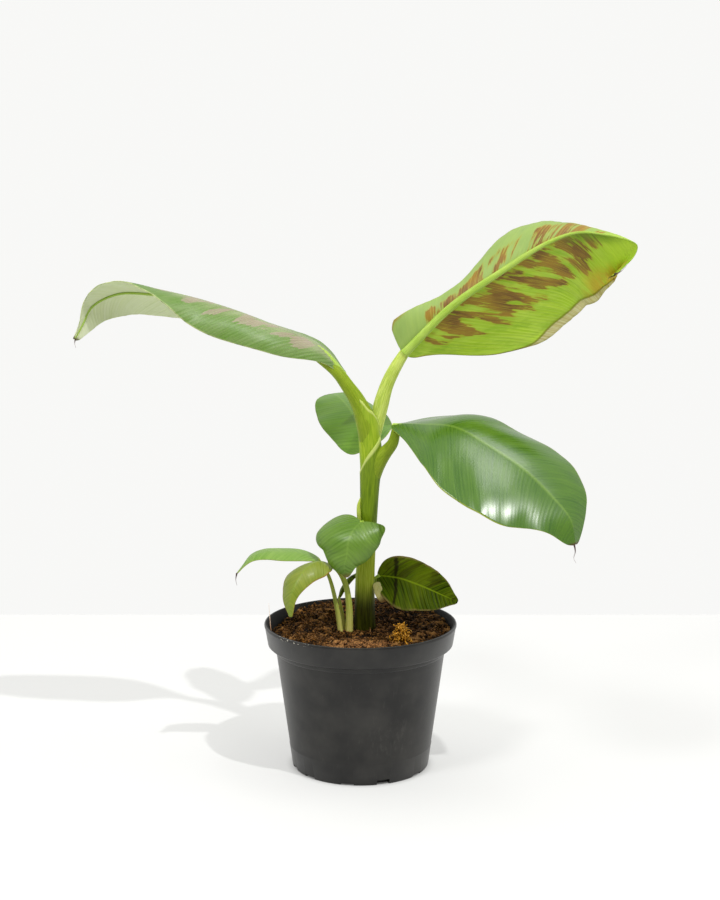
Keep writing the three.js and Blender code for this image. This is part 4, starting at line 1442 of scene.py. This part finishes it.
class BuildLeaves(bpy.types.Operator):
    """Lays the leaf blades over their midribs and gives each side its own finish"""

    bl_idname = "plant.build_leaves"
    bl_label = "Build leaves"

    def execute(self, context):
        looks = leaf_looks()
        green = stalk_look(srgb(120, 156, 50), srgb(150, 180, 70), channel=0.0)
        olive = stalk_look(srgb(80, 100, 16), srgb(110, 132, 24), srgb(140, 160, 50), channel=0.0)
        pale = stalk_look(srgb(130, 164, 46), srgb(150, 182, 66), channel=0.0)
        ribs = {
            "leaf_left": stalk_finish("Green midrib", green),
            "leaf_old": stalk_finish("Olive midrib", olive),
        }
        usual = stalk_finish("Pale midrib", pale)
        for name, spec in LEAVES.items():
            title = name.replace("_", " ")
            sides = zip((" upper", " under"), looks[name])
            finishes = [leaf_sheet(title + side, look) for side, look in sides]
            finish_piece(blade(name + "_blade", spec, finishes), None, LEAF_SLOTS[name], name)
            if "rib" in spec:
                finish_piece(midrib(name, spec), ribs.get(name, usual), LEAF_SLOTS[name])

        thread = thread_finish("Tip thread", srgb(70, 46, 40), srgb(196, 190, 190))
        for name, path in TIP_THREADS.items():
            finish_piece(tube("tip_thread_" + name, path, [0.8, 0.35, 0.2], 16, sides=8), thread, "leaf_dry")
        return {"FINISHED"}


class BuildStage(bpy.types.Operator):
    """Sets the pale floor, the soft lights and the camera"""

    bl_idname = "plant.build_stage"
    bl_label = "Build stage"

    def execute(self, context):
        s = settings().stage
        scene = context.scene
        deselect()
        bpy.ops.mesh.primitive_plane_add(size=FLOOR_SIZE, location=(0, 0, 0))
        floor = named("stage_floor")
        with editing(floor):
            bpy.ops.mesh.subdivide(number_cuts=2)
        floor.data.materials.append(floor_finish())
        scene.world = soft_room()
        scene.view_settings.view_transform = "Standard"

        lamp("key", "SUN", KEY_POWER, (0, 0, 0), KEY_HEADING, angle=math.radians(KEY_SPREAD))
        for name, (power, spot, aim, size) in SOFT_LAMPS.items():
            heading = Vector(aim) - Vector(spot)
            lamp(name, "AREA", power, spot, heading, shape="ELLIPSE", size=size[0], size_y=size[1])

        eye = bpy.data.cameras.new("front_camera")
        eye.sensor_width = SENSOR_WIDTH
        eye.lens = s.lens
        camera = link(bpy.data.objects.new("front_camera", eye))
        camera.location = (CAMERA_X, -s.distance, s.height)
        camera.rotation_euler = (math.pi / 2 - s.tilt, 0, 0)
        scene.camera = camera
        return {"FINISHED"}


def lamp(name, kind, power, spot, heading, **values):
    """A light at a spot, shining along its heading."""
    light = bpy.data.lights.new(name, kind)
    light.energy = power
    for key, value in values.items():
        setattr(light, key, value)
    piece = link(bpy.data.objects.new(name, light))
    piece.location = spot
    piece.rotation_euler = Vector(heading).to_track_quat("-Z", "Y").to_euler()


class PlantPanel(bpy.types.Panel):
    """Lists the builders of the plant"""

    bl_idname = "VIEW3D_PT_banana_plant"
    bl_label = "Banana plant"
    bl_space_type = "VIEW_3D"
    bl_region_type = "UI"
    bl_category = "Banana Plant"

    def draw(self, context):
        for operator in OPERATORS:
            self.layout.operator(operator.bl_idname)
        own = settings()
        for group in (own.pot, own.mix, own.leaf, own.stem, own.stage):
            box = self.layout.box()
            for name in group.bl_rna.properties.keys():
                if name not in ("rna_type", "name"):
                    box.prop(group, name)


GROUPS = (PotSettings, MixSettings, LeafSettings, StemSettings, StageSettings, PlantSettings)
OPERATORS = (BuildStage, BuildPot, BuildMix, BuildStems, BuildLeaves)


def register():
    for kind in (*GROUPS, *OPERATORS, PlantPanel):
        bpy.utils.register_class(kind)
    setattr(bpy.types.Scene, PROPS, PointerProperty(type=PlantSettings))


def unregister():
    delattr(bpy.types.Scene, PROPS)
    for kind in reversed((*GROUPS, *OPERATORS, PlantPanel)):
        bpy.utils.unregister_class(kind)


def main():
    register()
    bpy.ops.plant.build_stage()
    bpy.ops.plant.build_pot()
    bpy.ops.plant.build_mix()
    bpy.ops.plant.build_stems()
    bpy.ops.plant.build_leaves()


if __name__ == "__main__":
    main()
